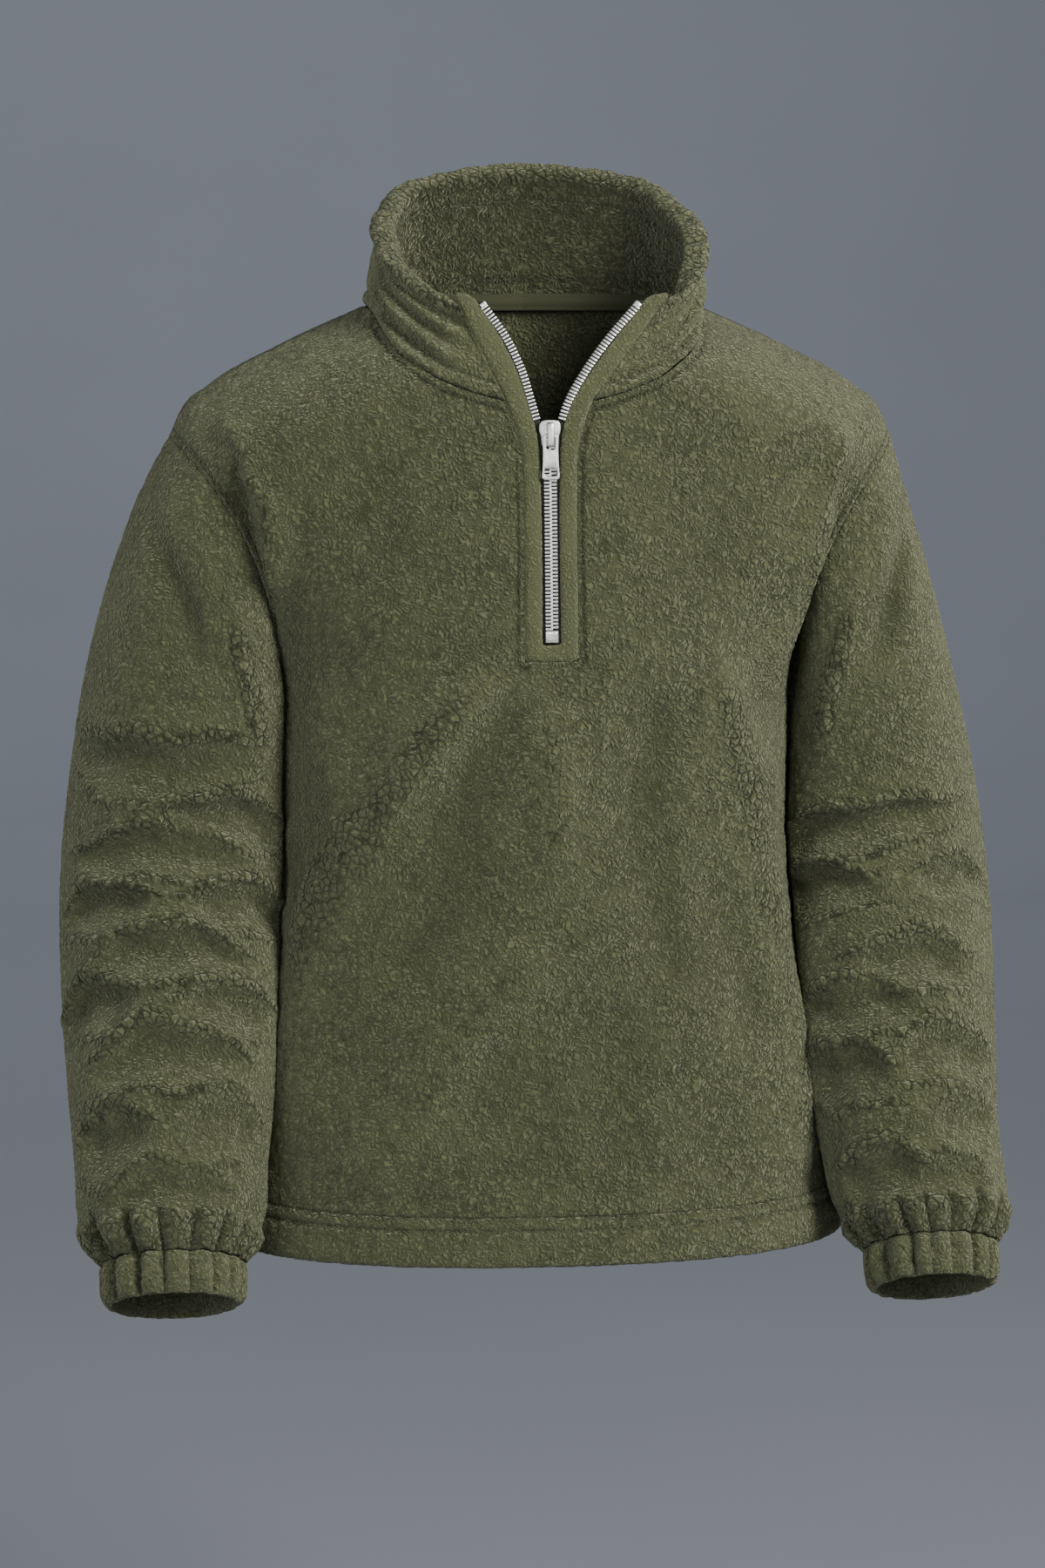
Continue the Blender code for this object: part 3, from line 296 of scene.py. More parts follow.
# Drapes of the body: ends in x and z, half width and depth, minus for a trough.
FRONT_FOLDS = table(
    "x_a z_a x_b z_b width depth",
    (-222, -82, -203, -132, 7, 6),
    (-204, -122, -192, -215, 8, 7),
    (-193, -205, -186, -320, 10, 5),
    (-219, -94, -210, -142, 6, -6),
    (-212, -132, -203, -230, 7, -7),
    (-150, -250, -156, -380, 12, 3),
    (-44, -258, -121, -349, 14, 7),
    (-115, -340, -183, -467, 16, 7),
    (-176, -460, -186, -590, 18, 4),
    (-34, -268, -66, -360, 13, -6),
    (-66, -350, -102, -480, 17, -6),
    (0, -262, 6, -400, 14, 5),
    (-10, -430, -89, -549, 18, 4.5),
    (-80, -535, -139, -622, 18, 4),
    (60, -268, 68, -360, 14, -6),
    (68, -350, 86, -480, 18, -5.5),
    (112, -252, 142, -345, 13, 7),
    (136, -332, 168, -450, 14, 7),
    (164, -436, 196, -622, 16, 6),
    (122, -380, 146, -520, 15, -4.5),
    (208, -88, 192, -165, 9, 6),
    (192, -155, 174, -270, 10, 6),
    (210, -120, 198, -220, 7, -6),
    (194, -215, 186, -350, 9, -5),
    (28, -470, 60, -612, 22, -4),
    (-36, -500, -16, -620, 20, -3),
    (100, -520, 124, -622, 20, -3.5),
    (-130, -100, -104, -200, 24, -3),
    (120, -100, 98, -210, 24, -3),
)
BACK_FOLDS = table(
    "x_a z_a x_b z_b width depth",
    (-208, -104, -172, -190, 11, 6),
    (-172, -180, -158, -300, 12, 5),
    (-206, -134, -186, -240, 9, -6),
    (206, -104, 170, -186, 11, 6),
    (170, -180, 156, -300, 12, 5),
    (204, -134, 186, -240, 9, -6),
    (-60, -250, -106, -372, 18, 5),
    (-106, -362, -154, -500, 18, 6),
    (50, -280, 96, -400, 18, 5),
    (96, -392, 146, -532, 18, 6),
    (-10, -300, -34, -440, 18, -5),
    (-34, -430, -40, -580, 20, -4),
    (104, -200, 62, -360, 20, -4),
    (-170, -420, -194, -600, 18, 4.5),
    (60, -520, 90, -620, 22, -4),
    (10, -90, -6, -230, 26, -3),
    (174, -470, 198, -610, 16, 5),
)

GATHERS = 16  # round each cuff
# Cuff section down its length: growth of its radius, and the share of the gathers' depth.
CUFF_OUTER = table(
    "down grow gathers",
    (0, -1.5, 0.5),
    (4, 1.6, 1.0),
    (15, 2.2, 1.0),
    (25, 1.4, 0.9),
    (30, -0.8, 0.5),
)
CUFF_INNER = table("down grow", (29.5, -4.2), (15, -4.0), (0, -6.0))

SLIDER_THICK = 1.8
SLIDER_FACE = 2.3  # its face in front of the placket's
BRIDGE_WIDTH = 4.4
# Bridge from its lower to its upper foot: height and lift of its under side and of its top.
BRIDGE = table(
    "under_height under_lift top_height top_lift",
    (-5.6, -0.9, -7.2, -0.9),
    (-5.6, 2.2, -7.2, 3.0),
    (-4.6, 3.0, -5.2, 4.2),
    (6.4, 3.0, 7.0, 4.2),
    (7.6, 2.2, 9.4, 3.0),
    (7.6, -0.9, 9.6, -0.9),
)
PULL_AXIS_Z = -90.7
PULL_AXIS_OUT = 1.6  # in front of the slider's face
PULL_THICK = 1.4
# Bridge's cross section: x as a share of its half width, and share of the way from its under side.
BRIDGE_CROSS = (
    (-1.0, 0.15), (-0.85, 0.0), (0.85, 0.0), (1.0, 0.15),
    (1.0, 0.8), (0.75, 1.0), (-0.75, 1.0), (-1.0, 0.8),
)

# Hem section: distance down from its top, and distance out of the body's face.
HEM_SECTION = table(
    "down out",
    (0, -0.6),
    (2.5, 1.2),
    (6.5, 1.2),
    (9, -0.6),
    (12, 1.6),
    (24, 2.2),
    (32, 1.6),
    (35, -1.0),
    (35, -4.0),
    (31, -6.0),
    (12, -6.0),
    (0, -5.0),
)

# Placket, tapes and zip.
PLACKET_FOOT_Z = -233.4  # its inner edge there
OUTER_HALF = 18.0  # half the width at the foot between its outer edges, and between its inner ones
INNER_HALF = 6.5
# Placket section: share of the way from its outer to its inner edge, and height over the body's face.
PLACKET_SECTION = table(
    "across lift",
    (0.02, -1.3),
    (0.10, -0.2),
    (0.22, 1.0),
    (0.42, 1.5),
    (0.66, 1.35),
    (0.88, 0.8),
    (1.0, -0.9),
    (0.99, -3.2),
    (0.9, -4.8),
    (0.5, -4.9),
    (0.06, -4.6),
    (0.0, -3.0),
)
TAPE_UNDER = 2.5  # how far a zip tape goes in under the placket
PLACKET_LAP = 0.9  # how far the placket's outer edge laps over the panel
LOBE = 6.0  # height of the rounded lobes at its upper ends
# Sections of the tapes: share of the way from the teeth or height, and lift.
TAPE_SECTION = (
    (0.0, 0.1), (0.08, 0.5), (0.2, 0.45), (0.3, 0.15),
    (1.0, 0.15), (1.0, -0.6), (0.3, -0.6), (0.0, -0.5),
)
NECK_TAPE_SECTION = (
    (-0.6, 0.3), (-0.3, 1.0), (0.6, 1.5), (1.8, 1.3), (3.0, 2.1), (5.4, 2.7),
    (7.8, 2.3), (9.4, 1.4), (10.5, 1.5), (11.4, 1.0), (11.6, 0.3), (5.3, 0.0),
)

TOOTH_PITCH = 2.5
TOOTH_LENGTH = 5.1
TOOTH_THICK = 2.6
TOOTH_TALL = 1.55
TOOTH_LIFT = 0.4  # its back in front of the tape's face
TOOTH_LAP = 0.75  # how far its head goes past the chain's middle
TOP_STOP_HALF = (2.3, 1.6, 1.5)
STOP_HALF = (4.4, 1.5, STOP_HEIGHT / 2)
STOP_BAR_HALF = (3.3, 0.3, 0.5)
SLIDER_WALL_HALF = (0.55, 1.5, 5.6)
# Slider and pull: half width and height over the pull's axis, down one side from the top.
SLIDER_OUTLINE = (
    (1.2, 11.2), (3.9, 11.0), (5.9, 10.2), (7.0, 8.4), (7.3, 6.0), (7.1, 3.4),
    (6.6, 1.6), (6.0, -0.4), (5.7, -4.0), (5.5, -6.4), (4.6, -7.2), (1.5, -7.4),
)
PULL_OUTLINE = (
    (1.5, 1.3), (4.0, 1.2), (5.0, 0.4), (5.4, -2.0), (5.3, -9.4), (5.4, -16.0),
    (5.7, -22.4), (6.1, -27.2), (5.8, -28.9), (4.6, -29.6), (1.5, -29.8),
)
PULL_SLOT = ((1.0, -0.8), (2.8, -1.2), (3.2, -3.0), (3.2, -7.0), (2.8, -8.9), (1.0, -9.3))
PULL_WINDOW = ((1.5, -22.0), (3.6, -22.2), (4.3, -23.0), (4.4, -26.2), (3.8, -27.2), (1.5, -27.5))

# Sewing, gathers and folds.
# Valleys of the gathers get painted shade.
RIB_LEVEL = -0.2  # of a gather's wave, under which it counts as its valley
SEAM_BAND = 5.6  # from a seam to its line of stitching
SEAM_REACH = 14.0  # how far from a seam the cloth takes note of it
# The collar gets painted shade along its stitched grooves at these heights.
COLLAR_STITCHES = (0.0, 0.17, 0.72)  # heights of its stitched grooves
COLLAR_SEWN = ((0.17, True), (0.71, True), (0.72, False))  # heights of its thread, and if it is outside
HEM_STITCH = 9.0  # its second line of stitching below its top
STITCH_LENGTH = 2.7
STITCH_PITCH = 3.7
STITCH_THICK = 0.34
UNDERARM_FILL_Z = -275
UNDERARM_FILL = 14.0  # swell of the right sleeve towards the body under the arm
CUFF_TUCK = 1.2  # how far a cuff goes up under the sleeve's gathers
GATHER_DEEP = 4.6  # scale of the gathers' waves
BODY_DEEPER = 1.45  # of the body's drapes, over their table
FOLD_DEEPER = 1.3  # of the sleeves' folds, over their table
DRAPE_DEEPER = 1.5  # of the sleeves' drapes, over their table
DEGREE_LONG = 1.3  # length of a degree round a sleeve
# Shape of a sleeve's fold, in widths and shares of its depth: a brow over it and a lip under it.
BROW_OFF = 1.25
BROW_RISE = 0.26
LIP_OFF = 2.1
LIP_RISE = 0.22

# Dyes, and the room, its lamps and the camera: name, place, target, size, watts and tint of a lamp.
OLIVE = (0.107, 0.117, 0.057)
TAPE_DYE = (0.040, 0.043, 0.031)
NECK_TAPE_DYE = (0.066, 0.070, 0.036)
FLOOR_DYES = ((0.225, 0.238, 0.275), (0.24, 0.254, 0.292))
SKY_DYE = (0.9, 0.95, 1.0)
SKY_STRENGTH = 0.13
FLOOR_Z = -1.3
FLOOR_NEAR_Y = -8.0
FLOOR_HALF = 9.0
WALL_TOP_Z = 5.5
WALL_Y = 8.0
WALL_BEND = 2.5  # radius of the floor's run up into the wall
LAMPS = (
    ("key", (1.7, -2.4, 1.15), (0.0, 0.0, -0.35), (1.2, 1.2), 127.0, (1.0, 0.98, 0.95)),
    ("fill", (-2.0, -2.4, 0.2), (0.0, 0.0, -0.35), (1.8, 1.8), 33.0, (0.97, 0.98, 1.0)),
    ("front", (-0.1, -3.4, 0.25), (0.0, 0.0, -0.2), (0.9, 0.9), 13.0, (1.0, 1.0, 1.0)),
    ("wall", (0.0, 4.2, 3.2), (0.0, 8.0, 0.0), (5.0, 1.5), 140.0, (0.95, 0.98, 1.0)),
    ("rim", (1.9, 1.4, 1.0), (0.0, 0.0, -0.2), (1.4, 1.4), 25.0, (1.0, 1.0, 1.0)),
    ("rim_left", (-2.2, 1.2, 0.8), (0.0, 0.0, -0.3), (1.4, 1.4), 27.0, (1.0, 1.0, 1.0)),
)

CAMERA = {
    "azimuth": -6.0,
    "pitch": 7.5,
    "distance": 3300.0,
    "target": (-7.0, 0.0, -346.0),
    "focal_px": 5280.0,
    "frame_px": 1800.0,
    "sensor_mm": 36.0,
}

# Rows and columns of the meshes. Those of the panels and sleeves are whole numbers of EVERY.
EVERY = 4  # fine rows or columns to one of a piece's inner face
LOW_ROWS = 192
ARM_ROWS = 84
SHOULDER_COLUMNS = 72
NECK_COLUMNS = 64
MIDDLE_COLUMNS = 16
SLEEVE_ROUND = 256
SLEEVE_RINGS = 292
CUFF_ROUND = 192
CUFF_STEPS = 48
COLLAR_LENGTH = 320
COLLAR_STEPS = 120
HEM_ROUND = 560
HEM_STEPS = 44
PLACKET_ROWS = 150
PLACKET_FOOT_COLUMNS = 19
PLACKET_STEPS = 30
OUTLINE_STEPS = 10  # for each row of the slider's and the pull's outlines

# ---------------------------------------------------------------- smooth tables and curves


def through(xs, ys, at):
    """A smooth curve through points with rising xs, read at the given places."""
    slopes = np.gradient(ys, xs)
    i = np.clip(np.searchsorted(xs, at) - 1, 0, len(xs) - 2)
    span = xs[i + 1] - xs[i]
    t = np.clip((at - xs[i]) / span, 0.0, 1.0)
    start = (1 + 2 * t) * (1 - t) ** 2 * ys[i] + t * (1 - t) ** 2 * span * slopes[i]
    end = t * t * (3 - 2 * t) * ys[i + 1] + t * t * (t - 1) * span * slopes[i + 1]
    return start + end


def read(rows, column, at):
    """A column of a table, as a smooth curve over its first one."""
    return through(rows[next(iter(rows))], rows[column], at)


def bell(distance, width):
    """1 at no distance, dying away over the width."""
    return np.exp(-((distance / width) ** 2))


def mirrored(points, sign):
    """Points on the side of x that sign tells, from points at x > 0."""
    return points * np.array([sign, 1.0, 1.0])


def step(low, high, at):
    """0 below low, 1 above high, smooth between them."""
    t = np.clip((at - low) / (high - low), 0.0, 1.0)
    return t * t * (3 - 2 * t)


def unit(vectors):
    """The vectors made 1 long."""
    length = np.linalg.norm(vectors, axis=-1, keepdims=True)
    return vectors / np.maximum(length, 1e-9)


def gone_along(points):
    """Distance gone at each point of a polyline."""
    return np.concatenate([[0.0], np.cumsum(np.linalg.norm(np.diff(points, axis=0), axis=1))])


def read_line(at, gone, points):
    """Places on a polyline, read where gone has the values of at."""
    return np.stack([np.interp(at, gone, column) for column in points.T], axis=-1)


def spaced(points, count):
    """Points of a polyline, count + 1 of them, at equal distances along it."""
    points = np.asarray(points, float)
    gone = gone_along(points)
    return read_line(np.linspace(0.0, gone[-1], count + 1), gone, points)


def nearest_turn(degrees):
    """The same angle between -180 and 180 degrees."""
    return (degrees + 180) % 360 - 180


def full_turn(count):
    """Angles round a full turn."""
    return np.arange(count) * 2 * math.pi / count


def bezier(points, t):
    p0, p1, p2, p3 = (np.array(p) for p in points)
    t = np.asarray(t)[:, None]
    return (1 - t) ** 3 * p0 + 3 * t * (1 - t) ** 2 * p1 + 3 * t * t * (1 - t) * p2 + t**3 * p3


def line_fold(x, z, fold):
    """Height of a fold along a straight line, with soft sides and ends."""
    ax, az, bx, bz, width, depth = fold
    dx, dz = bx - ax, bz - az
    length = math.hypot(dx, dz)
    along = ((x - ax) * dx + (z - az) * dz) / length
    across = ((x - ax) * dz - (z - az) * dx) / length
    inside = step(-0.15 * length, 0.25 * length, along) * (1 - step(0.75 * length, 1.15 * length, along))
    return depth * inside * np.exp(-0.5 * (across / width) ** 2)


def rows_of(columns):
    """The rows of a table."""
    return zip(*columns.values())


# ---------------------------------------------------------------- the body's surface


def body_half(z):
    return read(BODY, "half", z)


def body_depth(z, behind):
    """Depth of the body's section, to the back where behind is true and to the front elsewhere."""
    return np.where(behind, read(BODY, "back", z), read(BODY, "front", z))


def torso_y(x, z, face):
    """y of the front or back at x, z: a rounded section that closes onto the shoulder line."""
    reach = np.abs(x)
    share = np.clip(reach / body_half(z), 0.0, 1.0)
    depth = read(BODY, face, z) * (1 - share**BODY_CORNER) ** (1 / BODY_CORNER)
    drop = read(SHOULDER, "z", reach) - z
    full = np.sqrt(1 - (1 - np.clip(drop / SHOULDER_ROUND, 0.0, 1.0)) ** 2)
    ridge = read(SHOULDER, "y", reach)
    sign = -1 if face == "front" else 1
    return ridge * (1 - full) + sign * depth * full


def on_torso(xz, face):
    x, z = xz[..., 0], xz[..., 1]
    return np.stack([x, torso_y(x, z, face), z], axis=-1)


def armhole(face, count=ARM_ROWS):
    """Points of the armhole's front or back half from the underarm to the shoulder, for x > 0."""
    line = on_torso(bezier(ARMHOLE, np.linspace(0, 1, 200)), face)
    line[0, 1] = 0.0
    line[-1, 1] = SHOULDER["y"][-1]
    return spaced(line, count)


def seam_line(rows, start, end, count):
    """x, z points along a table's line between two x."""
    x = np.linspace(start, end, 60)
    return spaced(np.stack([x, read(rows, "z", x)], axis=1), count)


def neckline(face, count):
    """x, z points from the neck point to the middle."""
    return seam_line(NECK[face], NECK_POINT[0], NECK[face]["x"][0], count)


def patch(left, right, bottom, top):
    """A grid of x, z points between four edges that meet at their ends."""
    u = np.linspace(0, 1, len(bottom))[None, :, None]
    v = np.linspace(0, 1, len(left))[:, None, None]
    sides = (1 - u) * left[:, None] + u * right[:, None]
    ends = (1 - v) * bottom[None] + v * top[None]
    corners = (1 - v) * ((1 - u) * bottom[0] + u * bottom[-1]) + v * ((1 - u) * top[0] + u * top[-1])
    return sides + ends - corners


def across_body(z, inner, columns):
    """x from the side seam at x > 0 to the inner column, closer together round the corner."""
    half = float(body_half(np.array(z)))
    last = math.asin((inner / half) ** (BODY_CORNER / 2))
    return half * np.sin(np.linspace(math.pi / 2, last, columns + 1)) ** (2 / BODY_CORNER)


def notch_edge():
    """x, z points up the front panel's edge beside the zip, for x > 0."""
    opening = OPENING["left"]
    z = np.linspace(UNDERARM_Z, NECK_SEAM_Z, 80)
    return spaced(np.stack([read(opening, "outer", z), z], axis=1), ARM_ROWS)


def half_panel(face):
    """x, z points of half a panel at x > 0: rows up from the hem, columns in from the side."""
    if face == "front":
        edge = notch_edge()
    else:
        edge_z = np.linspace(UNDERARM_Z, NECK["back"]["z"][0], ARM_ROWS + 1)
        edge = np.stack([np.zeros(ARM_ROWS + 1), edge_z], axis=1)
    shoulder = seam_line(SHOULDER, SHOULDER["x"][-1], NECK_POINT[0], SHOULDER_COLUMNS)
    top = np.concatenate([shoulder, neckline(face, NECK_COLUMNS)[1:]])
    inner = edge[0, 0]
    columns = SHOULDER_COLUMNS + NECK_COLUMNS
    bottom = np.stack([across_body(UNDERARM_Z, inner, columns), np.full(columns + 1, UNDERARM_Z)], axis=1)
    upper = patch(armhole(face)[:, [0, 2]], edge, bottom, top)
    lower = []
    for z in np.linspace(HEM_TOP_Z + SEAM, UNDERARM_Z, LOW_ROWS + 1)[:-1]:
        x = across_body(z, inner, columns)
        lower.append(np.stack([x, np.full(len(x), z)], axis=1))
    return np.concatenate([np.array(lower), upper])


def body_folds(points, folds, face):
    """Height of the body's drapes, which die away at every edge, and where their crests and hollows are."""
    x, z = points[..., 0], points[..., 2]
    height = np.zeros(x.shape)
    wander = 5.0 * np.sin(z / 31.0 + x / 57.0) + 3.0 * np.sin(z / 17.0 - x / 23.0)
    for fold in rows_of(folds):
        height += line_fold(x + wander, z, fold) * BODY_DEEPER
    reach = np.abs(x)
    height *= 1 - step(0.90, 0.985, reach / body_half(z))
    arm = armhole(face)
    arm_x = through(arm[:, 2], arm[:, 0], z)
    height *= np.where(z > UNDERARM_Z, 1 - step(-10, -2, reach - arm_x), 1.0)
    height *= step(HEM_TOP_Z + 4, HEM_TOP_Z + 34, z)
    height *= step(0, 22, points[-1:, :, 2] - z)
    if face == "front":
        height *= np.maximum(step(18, 34, reach), 1 - step(UNDERARM_Z - 40, UNDERARM_Z - 12, z))
    return height, 0.55 * step(2.0, 9.0, height), step(2.0, 8.0, -height)


def sleeve_surface(angle, z, side):
    """Plain tube of a sleeve at x > 0: angle 0 is its outer side and 90 degrees its front."""
    ring = {name: read(SLEEVE, name, z) for name in SLEEVE if name != "z"}
    if side == "left":
        for name in ("x", "half_width"):
            ring[name] = ring[name] + read(LEFT_SLEEVE, name, z)
    lean = np.radians(ring["lean"])
    front = ring["half_depth"] * np.sin(angle)
    x = ring["x"] + ring["half_width"] * np.cos(angle)
    y = ring["y"] - front * np.cos(lean)
    return np.stack([x, y, z + front * np.sin(lean)], axis=-1)


def sleeve_folds(angle, z, side):
    """Height of a sleeve's folds, and how much each point is on a crest or in a hollow.

    Each fold falls steeply under a brow and rises slowly to a lip below it.
    """
    degrees = np.degrees(angle) % 360
    height, crest, hollow = (np.zeros(z.shape) for _ in range(3))
    for middle, centre, span, droop, slope, width, depth in rows_of(SLEEVE_FOLDS[side]):
        turn = nearest_turn(degrees - centre) + 3.0 * np.sin(z / 9.0 + centre)
        share = turn / span
        line = middle - droop * share**2 - slope * turn / 90 + 2.2 * np.sin(turn / 7.0 + middle)
        inside = 1 - step(0.5, 1.2, np.abs(share))
        near = 1 - step(0.8, 1.6, np.abs(share))
        taper = 1 - 0.45 * np.clip(np.abs(share), 0, 1) ** 2
        off = (z - line) / (width * taper)
        dip = np.where(off > 0, bell(off, 0.8), bell(off, 1.5))
        brow = bell(off - BROW_OFF, 0.55)
        lip = bell(off + LIP_OFF, 0.42)
        height += depth * FOLD_DEEPER * (inside * (dip - LIP_RISE * lip) - near * BROW_RISE * brow)
        crest = np.maximum(crest, 1.3 * near * np.maximum(brow, 0.8 * lip) * step(4.0, 8.0, np.abs(depth)))
        hollow = np.maximum(hollow, inside * dip)
    for z_a, angle_a, z_b, angle_b, width, depth in rows_of(SLEEVE_DRAPES):
        turn = nearest_turn(degrees - angle_a) * DEGREE_LONG + 3.0 * np.sin(z / 21.0 + angle_a)
        end = nearest_turn(angle_b - angle_a) * DEGREE_LONG
        drape = line_fold(turn, z, (0, z_a, end, z_b, width * 0.8, depth * DRAPE_DEEPER))
        height += drape
        crest = np.maximum(crest, step(1.5, 5.0, drape))
        hollow = np.maximum(hollow, np.clip(-drape / 6.0, 0, 1))
    return height, np.clip(crest, 0, 1) * (1 - hollow), hollow


def clear_of_body(points):
    """Points pushed out of the body's section, softly, from a little below the underarm."""
    x, y, z = points[..., 0], points[..., 1], points[..., 2]
    half = body_half(z) + SLEEVE_CLEAR
    depth = body_depth(z, y >= 0) + SLEEVE_CLEAR
    level = ((x / half) ** BODY_CORNER + (np.abs(y) / depth) ** BODY_CORNER) ** (1 / BODY_CORNER)
    soft = 0.01
    pushed = 1 + soft * np.logaddexp(0, (level - 1) / soft)
    share = 1 - step(UNDERARM_Z - 12, UNDERARM_Z + 4, z)
    scale = 1 + (pushed / level - 1) * share
    return points * np.stack([scale, scale, np.ones(scale.shape)], axis=-1)


def armhole_loop():
    """The armhole from the shoulder down the front to the underarm and up the back, for x > 0."""
    front = armhole("front", SLEEVE_ROUND // 2)[::-1]
    back = armhole("back", SLEEVE_ROUND // 2)
    return np.concatenate([front, back[1:-1]])


def wrist_frame(angles):
    """Directions out of the sleeve's last ring, and the one down the cuff, square to that ring."""
    lean = math.radians(SLEEVE["lean"][0])
    front = np.sin(angles)
    out = np.stack([np.cos(angles), -front * math.cos(lean), front * math.sin(lean)], axis=1)
    return out, np.array([0.0, -math.sin(lean), -math.cos(lean)])


def outer_edge(side, zs):
    """Points up the outer edge of a placket strip: along the front panel, then the collar's end."""
    sign = SIDES[side]
    body = mirrored(on_torso(notch_edge(), "front"), sign)
    end = 0 if sign < 0 else -1
    rim = np.array([[RIM[axis][end] for axis in "xyz"]])
    foot = body[-1:] + np.array([0.0, 0.0, COLLAR_LIFT])
    line = np.concatenate([body, foot, rim])
    return read_line(zs, line[:, 2], line)


def opening_line(side, column, zs):
    """Points up an inner line of the opening: x from its table, y from the body or the collar's edge."""
    opening = OPENING[side]
    x = np.maximum(read(opening, column, zs), TEETH_FROM_MIDDLE)
    on_body = torso_y(x, zs, "front")
    on_collar = outer_edge(side, zs)[:, 1]
    share = step(NECK_SEAM_Z - 20, NECK_SEAM_Z, zs)
    return np.stack([x * SIDES[side], on_body + (on_collar - on_body) * share, zs], axis=1)


def strip_out(side, zs):
    """Directions out of the strip's face: the front panel's below, the collar's end's above."""
    collar = -collar_frame()[-1][0 if SIDES[side] < 0 else -1]
    low, high = opening_line(side, "inner", zs - 4), opening_line(side, "inner", zs + 4)
    body = unit(np.cross(high - low, np.array([1.0, 0.0, 0.0])))
    body = np.where(body[:, 1:2] > 0, -body, body)
    share = step(NECK_SEAM_Z - 14, NECK_SEAM_Z, zs)[:, None]
    return unit(body + (collar - body) * share)


def zip_face_y(z):
    """y of the body's face at its middle, where the zip runs."""
    return float(torso_y(np.array(0.0), np.array(float(z)), "front"))


def slider_frame():
    """The pull's axis, and the directions up along the zip and out of it."""
    low, high = PULL_AXIS_Z - 12, PULL_AXIS_Z + 8
    up = unit(np.array([0.0, zip_face_y(high) - zip_face_y(low), high - low]))
    out = np.array([0.0, -up[2], up[1]])
    face = np.array([0.0, zip_face_y(PULL_AXIS_Z), PULL_AXIS_Z])
    return face + out * (SLIDER_FACE + PULL_AXIS_OUT), up, out


# ---------------------------------------------------------------- noise for the pile


def hashed(ix, iy, iz, seed):
    """Three numbers from 0 to 1 for each lattice point."""
    h = ix.astype(np.uint32) * np.uint32(73856093)
    h ^= iy.astype(np.uint32) * np.uint32(19349663)
    h ^= iz.astype(np.uint32) * np.uint32(83492791)
    h ^= np.uint32(seed * 2654435761 % 2**32)
    found = []
    for shift in (15, 13, 16):
        h ^= h >> np.uint32(shift)
        h *= np.uint32(2246822519)
        h ^= h >> np.uint32(13)
        found.append(h / 4294967296.0)
    return np.stack(found, axis=-1)


def soft_noise(points, size, seed):
    """Smooth noise of three components from -1 to 1."""
    at = points / size
    low = np.floor(at).astype(np.int64)
    t = at - low
    t = t * t * (3 - 2 * t)
    total = 0.0
    for corner in np.ndindex(2, 2, 2):
        shares = np.where(corner, t, 1 - t)
        weight = shares[..., 0] * shares[..., 1] * shares[..., 2]
        value = hashed(*(low[..., k] + corner[k] for k in range(3)), seed)
        total = total + weight[..., None] * value
    return total * 2 - 1


def clumps(points, size, seed):
    """Winding clumps of pile with creases between them: 0 in a crease, 1 on a clump."""
    at = points + soft_noise(points, size * 2.1, seed + 7) * size * 0.5
    field = soft_noise(at, size, seed)
    creases = np.minimum(np.abs(field[..., 0]), np.abs(field[..., 1]) * 1.15)
    return step(0.0, 0.34, creases)


# ---------------------------------------------------------------- meshes


def all_cells(points):
    """A grid's coarse cells, all of them cloth."""
    return np.ones((points.shape[0] // EVERY, points.shape[1] // EVERY), bool)


def add_mesh(name, points, quads, others=(), marks=None):
    """A mesh in metres from points in millimetres, faces of four points and a few with more."""
    mesh = bpy.data.meshes.new(name)
    quads = np.asarray(quads, np.int32).reshape(-1, 4)
    sizes = np.concatenate([np.full(len(quads), 4, np.int32), np.array([len(o) for o in others], np.int32)])
    corners = np.concatenate([quads.reshape(-1)] + [np.array(o, np.int32) for o in others])
    starts = np.concatenate([[0], np.cumsum(sizes)[:-1]]).astype(np.int32)
    mesh.vertices.add(len(points))
    mesh.vertices.foreach_set("co", (np.asarray(points) * MM).astype(np.float32).ravel())
    mesh.loops.add(len(corners))
    mesh.loops.foreach_set("vertex_index", corners)
    mesh.polygons.add(len(sizes))
    mesh.polygons.foreach_set("loop_start", starts)
    mesh.polygons.foreach_set("loop_total", sizes)
    mesh.update(calc_edges=True)
    mesh.validate()
    for mark, values in (marks or {}).items():
        layer = mesh.attributes.new(mark, "FLOAT", "POINT")
        layer.data.foreach_set("value", np.asarray(values, np.float32).ravel())
    mesh.shade_smooth()
    piece = bpy.data.objects.new(name, mesh)
    bpy.context.scene.collection.objects.link(piece)
    return piece


def grid_normals(points, wrap):
    """Normals of a grid of points, as the cross product of its columns' and its rows' directions."""
    if wrap:
        across = np.roll(points, -1, axis=1) - np.roll(points, 1, axis=1)
    else:
        across = np.gradient(points, axis=1)
    return unit(np.cross(across, np.gradient(points, axis=0)))


def pile(points, crest, seed, low=0.8, high=1.7, size=6.2, stretched=None):
    """Height of the pile and its crease mark, which the fleece turns into painted shade: small clumps on
    the flats, larger ones along the crests.
    """
    if stretched is None:
        stretched = points * np.array([1.0, 1.0, 0.68])
    small = clumps(points, size, seed)
    large = clumps(stretched, size * 1.15, seed + 3)
    rough = 0.5 + 0.5 * soft_noise(points, 42.0, seed + 11)[..., 0]
    strength = low * (0.8 + 0.4 * rough) + (high - low) * crest
    mix = small + (large - small) * crest
    return (mix - 0.7) * strength, mix


